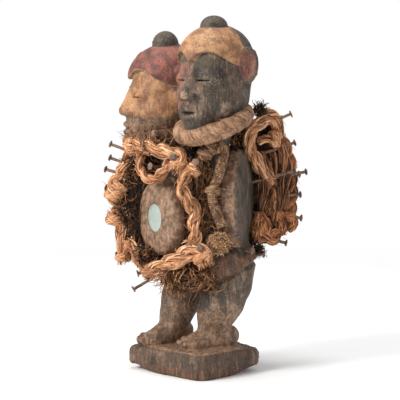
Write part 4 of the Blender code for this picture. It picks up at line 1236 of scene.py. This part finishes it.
# Loose bunches of raffia on the ropes: route in the corner view, radii, ribbons
BUNCHES = {
    "rope_right_curl": (
        (((84, 2, 289), (97, -6, 291), (106, -12, 282), (108, -14, 268), (106, -14, 256)),
         (6, 8, 8, 7, 6), 60),
        (((82, 4, 258), (92, 0, 262), (104, -8, 260)), (4, 5, 5), 26)),
    "rope_right_lower": (
        (((84, -6, 168), (86, -6, 156), (88, -4, 146), (92, -8, 136), (98, -12, 138)), (5, 11, 12, 9, 6), 90),
        (((106, -18, 170), (110, -20, 156), (112, -18, 146), (113, -20, 138)), (5, 9, 10, 5), 64),
        (((125, -32, 166), (127, -31, 156), (127, -30, 148), (122, -28, 142)), (4, 7, 8, 4), 44)),
    "raffia_hank_right": (
        (((104, -12, 200), (106, -8, 190), (105, -8, 180), (106, -12, 170)), (3, 6, 6, 4), 30),
        (((84, -8, 244), (92, -10, 226), (94, -16, 206), (92, -18, 184), (90, -16, 164)),
         (5, 8, 10, 10, 8), 70),
        (((112, -20, 256), (116, -24, 240), (118, -26, 222), (116, -28, 204), (116, -28, 184),
          (114, -26, 168)),
         (4, 7, 8, 8, 7, 6), 60)),
}
for name, (diameter, flare, plies, route) in ROPES.items():
    if name == HANK:
        rope = Soup()
        bundle(rope, corner_view(route), (11, 14, 14.5, 14, 13, 12), 110, (2.4, 4.8), 0.01)
        stray_fibres(rope, smooth_route(corner_view(route), 2.0), 13.5, 120, 16)
    else:
        rope = twisted_rope(corner_view(route), diameter, flare, plies)
    for middle, way, radius, turns, thick in KNOTS.get(name, ()):
        knot(rope, corner_view(middle), unit(corner_view(way)), radius, turns, thick)
    for bunch, radii, ribbons in BUNCHES.get(name, ()):
        bundle(rope, corner_view(bunch), radii, ribbons, (1.8, 3.6), 0.015)
    look = dark_raffia if name == HANK else old_raffia if name in OLD_ROPES else raffia
    piece = rope.build(name + "_raffia", look)
    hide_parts(name)
wound_cord("twine_cord", corner_view((
    (11, 66, 240), (17, 66, 251), (28, 64, 257), (37, 60, 253), (36, 64, 240), (31, 70, 222), (24, 73, 203),
    (24, 73, 189), (29, 72, 174), (35, 71, 158))), 12.5, twine)
brush = rosette(corner_view(((33, 52, 140), (32, 62, 138), (31, 74, 136))), 31.0)
brush = brush.build("frayed_bundle_brush", brush_stuff)
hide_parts("frayed_bundle")

neck_ring(
    "neck_ring_near", (25.6, 44, 285), 41.3, 22.0, math.radians(22.3), math.radians(-97), 14, 160, wrap)
neck_ring(
    "neck_ring_far", (-40, -33, 262), 37.0, 27.0, math.radians(8), math.radians(-110), 17, 460, old_wrap)

# Packed fibre: middle and half sizes in the corner view, strands, their main direction and length
FIBRE_MASSES = {
    "fibre_pack_chest": ((8, 46, 196), (17, 18, 52), 420, (0.1, 0, -1), 46),
    "fibre_pack_belly": ((-7, 38, 92), (32, 27, 19), 420, (0.3, 0.1, -0.3), 24),
    "fibre_pack_right_flank": ((-60, -24, 180), (30, 22, 68), 560, (0.1, 0, -1), 48),
    "fibre_pack_left_flank": ((76, -36, 212), (30, 21, 60), 520, (0.1, 0, -1), 52),
    "fibre_pack_back": ((14, -58, 186), (46, 24, 48), 520, (0.1, 0, -1), 44),
}
ROOT_PACKS = ("fibre_pack_belly", "fibre_pack_chest")
# Roots hanging from the packed fibre: box in the corner view, number, length, width and how they fall
TUFTS = {
    "fibre_pack_belly": (
        ((-44, 34, 84), (26, 60, 104), 500, 24, (0.5, 1.1), 1.2),
        ((-34, 44, 78), (-14, 58, 96), 160, 26, (0.5, 1.1), 2.2),
        ((-24, 44, 74), (12, 56, 84), 16, 56, (0.6, 0.9), 3.5)),
    "fibre_pack_chest": (
        ((-8, 54, 150), (30, 66, 236), 300, 26, (0.5, 1.1), 1.0),),
    "fibre_pack_left_flank": (
        ((84, -36, 256), (106, -20, 288), 300, 18, (1.2, 3.2), 0.6),
        ((46, -24, 262), (66, 2, 288), 150, 14, (1.4, 3.4), 0.4),
        ((40, 0, 246), (58, 22, 268), 140, 14, (1.0, 2.8), 0.6),
        ((66, -22, 128), (80, -2, 146), 140, 12, (1.0, 2.8), 0.6),
        ((50, -44, 246), (88, -20, 280), 340, 20, (1.2, 3.6), 0.3)),
    "fibre_pack_right_flank": (
        ((-88, -20, 150), (-70, 0, 250), 160, 18, (0.8, 2.0), 0.6),
        ((-72, 6, 108), (-50, 26, 126), 150, 14, (1.0, 3.0), 0.3),
        ((-60, 14, 108), (-38, 30, 124), 150, 13, (1.4, 3.2), 0.3),
        ((-98, -24, 160), (-84, -10, 190), 90, 14, (1.0, 3.0), 0.6)),
}
for name, pack in FIBRE_MASSES.items():
    mass = fibre_mass(*pack, (0.9, 2.4))
    for tuft in TUFTS.get(name, ()):
        hanging_tuft(mass, *tuft)
    piece = mass.build(name + "_mat", root_stuff if name in ROOT_PACKS else fibre_stuff)
    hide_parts(name)
ragged_tuft("tuft_behind_collar", (84, 2, 299), 13, 260, fibre_stuff)
ragged_tuft("tuft_under_collar", (-3, 44, 248), 14, 130, fibre_stuff)
ragged_tuft("tuft_hip", (82, 14, 122), 12, 220, fibre_stuff)
quills = Soup()
hanging_tuft(quills, (-66, 14, 246), (-26, 38, 274), 90, 22, (1.0, 2.8), 1.4)
quills.build("quills_far_collar", old_wrap)
ragged_tuft("tuft_far_collar", (-52, 14, 262), 13, 260, fibre_stuff)

shell_place = corner_view((-49, 21, 268))
shell_profile = [
    (5.6 * math.sin(a) * (1 - 0.12 * math.cos(3 * a)), -7.0 * math.cos(a))
    for a in np.linspace(0.08, 3.06, 12)]
shell = turned_disc("fruit_shell_ribbed", shell_place, (0.1, -0.2, 0.97), shell_profile, 24, shell_look())
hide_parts("fruit_shell")

# Stage, light and camera

FLOOR_RINGS = np.linspace(0.05, 1.5, 30)
FLOOR_SPOKES = 96
# The floor fades out between these distances
FADE_FROM = 0.55
FADE_TO = 1.45
MIDDLE = (0.0, 0.0, 0.24)
FIGURE_LIGHT = 0.6
PAPER_LIGHT = 1.0
CAMERA_DROP = 5.38
floor_mesh = bpy.data.meshes.new("studio_floor")
spokes = circle(FLOOR_SPOKES)
corners = [(0.0, 0.0, 0.0)]
corners += [(far * math.cos(a), far * math.sin(a), 0.0) for far in FLOOR_RINGS for a in spokes]
following = [(i + 1) % FLOOR_SPOKES for i in range(FLOOR_SPOKES)]
faces = [(0, 1 + i, 1 + following[i]) for i in range(FLOOR_SPOKES)]
for ring in range(len(FLOOR_RINGS) - 1):
    inner, outer = 1 + ring * FLOOR_SPOKES, 1 + (ring + 1) * FLOOR_SPOKES
    faces += [(inner + i, outer + i, outer + following[i], inner + following[i]) for i in range(FLOOR_SPOKES)]
floor_mesh.from_pydata(corners, [], faces)
distance = np.linalg.norm(np.array(corners), axis=1)
set_attribute(floor_mesh, "fade", "FLOAT", smooth_step(FADE_TO, FADE_FROM, distance))
floor_mesh.materials.append(floor_look())
floor = bpy.data.objects.new("studio_floor", floor_mesh)
bpy.context.collection.objects.link(floor)


def area_light(name, place, size, power, colour):
    """A round lamp aimed at the middle of the figure."""
    light = bpy.data.lights.new(name, "AREA")
    light.shape = "DISK"
    light.size = size
    light.energy = power
    light.color = colour
    lamp = bpy.data.objects.new(name, light)
    bpy.context.collection.objects.link(lamp)
    lamp.location = place
    lamp.rotation_euler = (Vector(MIDDLE) - Vector(place)).to_track_quat("-Z", "Y").to_euler()


area_light("key", (-0.35, -1.65, 1.25), 0.7, 34.0, (1.0, 0.98, 0.95))
area_light("fill", (1.9, 0.1, 0.7), 1.2, 4.0, (0.97, 0.98, 1.0))
area_light("top", (-0.2, 0.0, 1.9), 0.9, 16.0, (1.0, 1.0, 1.0))

world = bpy.data.worlds.new("studio")
world.use_nodes = True
sky = world.node_tree
soft_light = sky.nodes["Background"]
white_paper = sky.nodes.new("ShaderNodeBackground")
for background, strength in ((soft_light, FIGURE_LIGHT), (white_paper, PAPER_LIGHT)):
    background.inputs["Color"].default_value = (1.0, 1.0, 1.0, 1.0)
    background.inputs["Strength"].default_value = strength
chosen = sky.nodes.new("ShaderNodeMixShader")
sky.links.new(sky.nodes.new("ShaderNodeLightPath").outputs["Is Camera Ray"], chosen.inputs[0])
sky.links.new(soft_light.outputs[0], chosen.inputs[1])
sky.links.new(white_paper.outputs[0], chosen.inputs[2])
sky.links.new(chosen.outputs[0], sky.nodes["World Output"].inputs["Surface"])
bpy.context.scene.world = world
bpy.context.scene.view_settings.view_transform = "Standard"

camera_data = bpy.data.cameras.new("camera")
camera_data.lens = 159.66
camera_data.sensor_width = 36.0
camera_data.clip_end = 20.0
camera = bpy.data.objects.new("camera", camera_data)
camera.location = (1.5968, -1.5852, 0.430)
camera.rotation_euler = (math.radians(90 - CAMERA_DROP), 0.0, math.radians(45))
bpy.context.collection.objects.link(camera)
bpy.context.scene.camera = camera
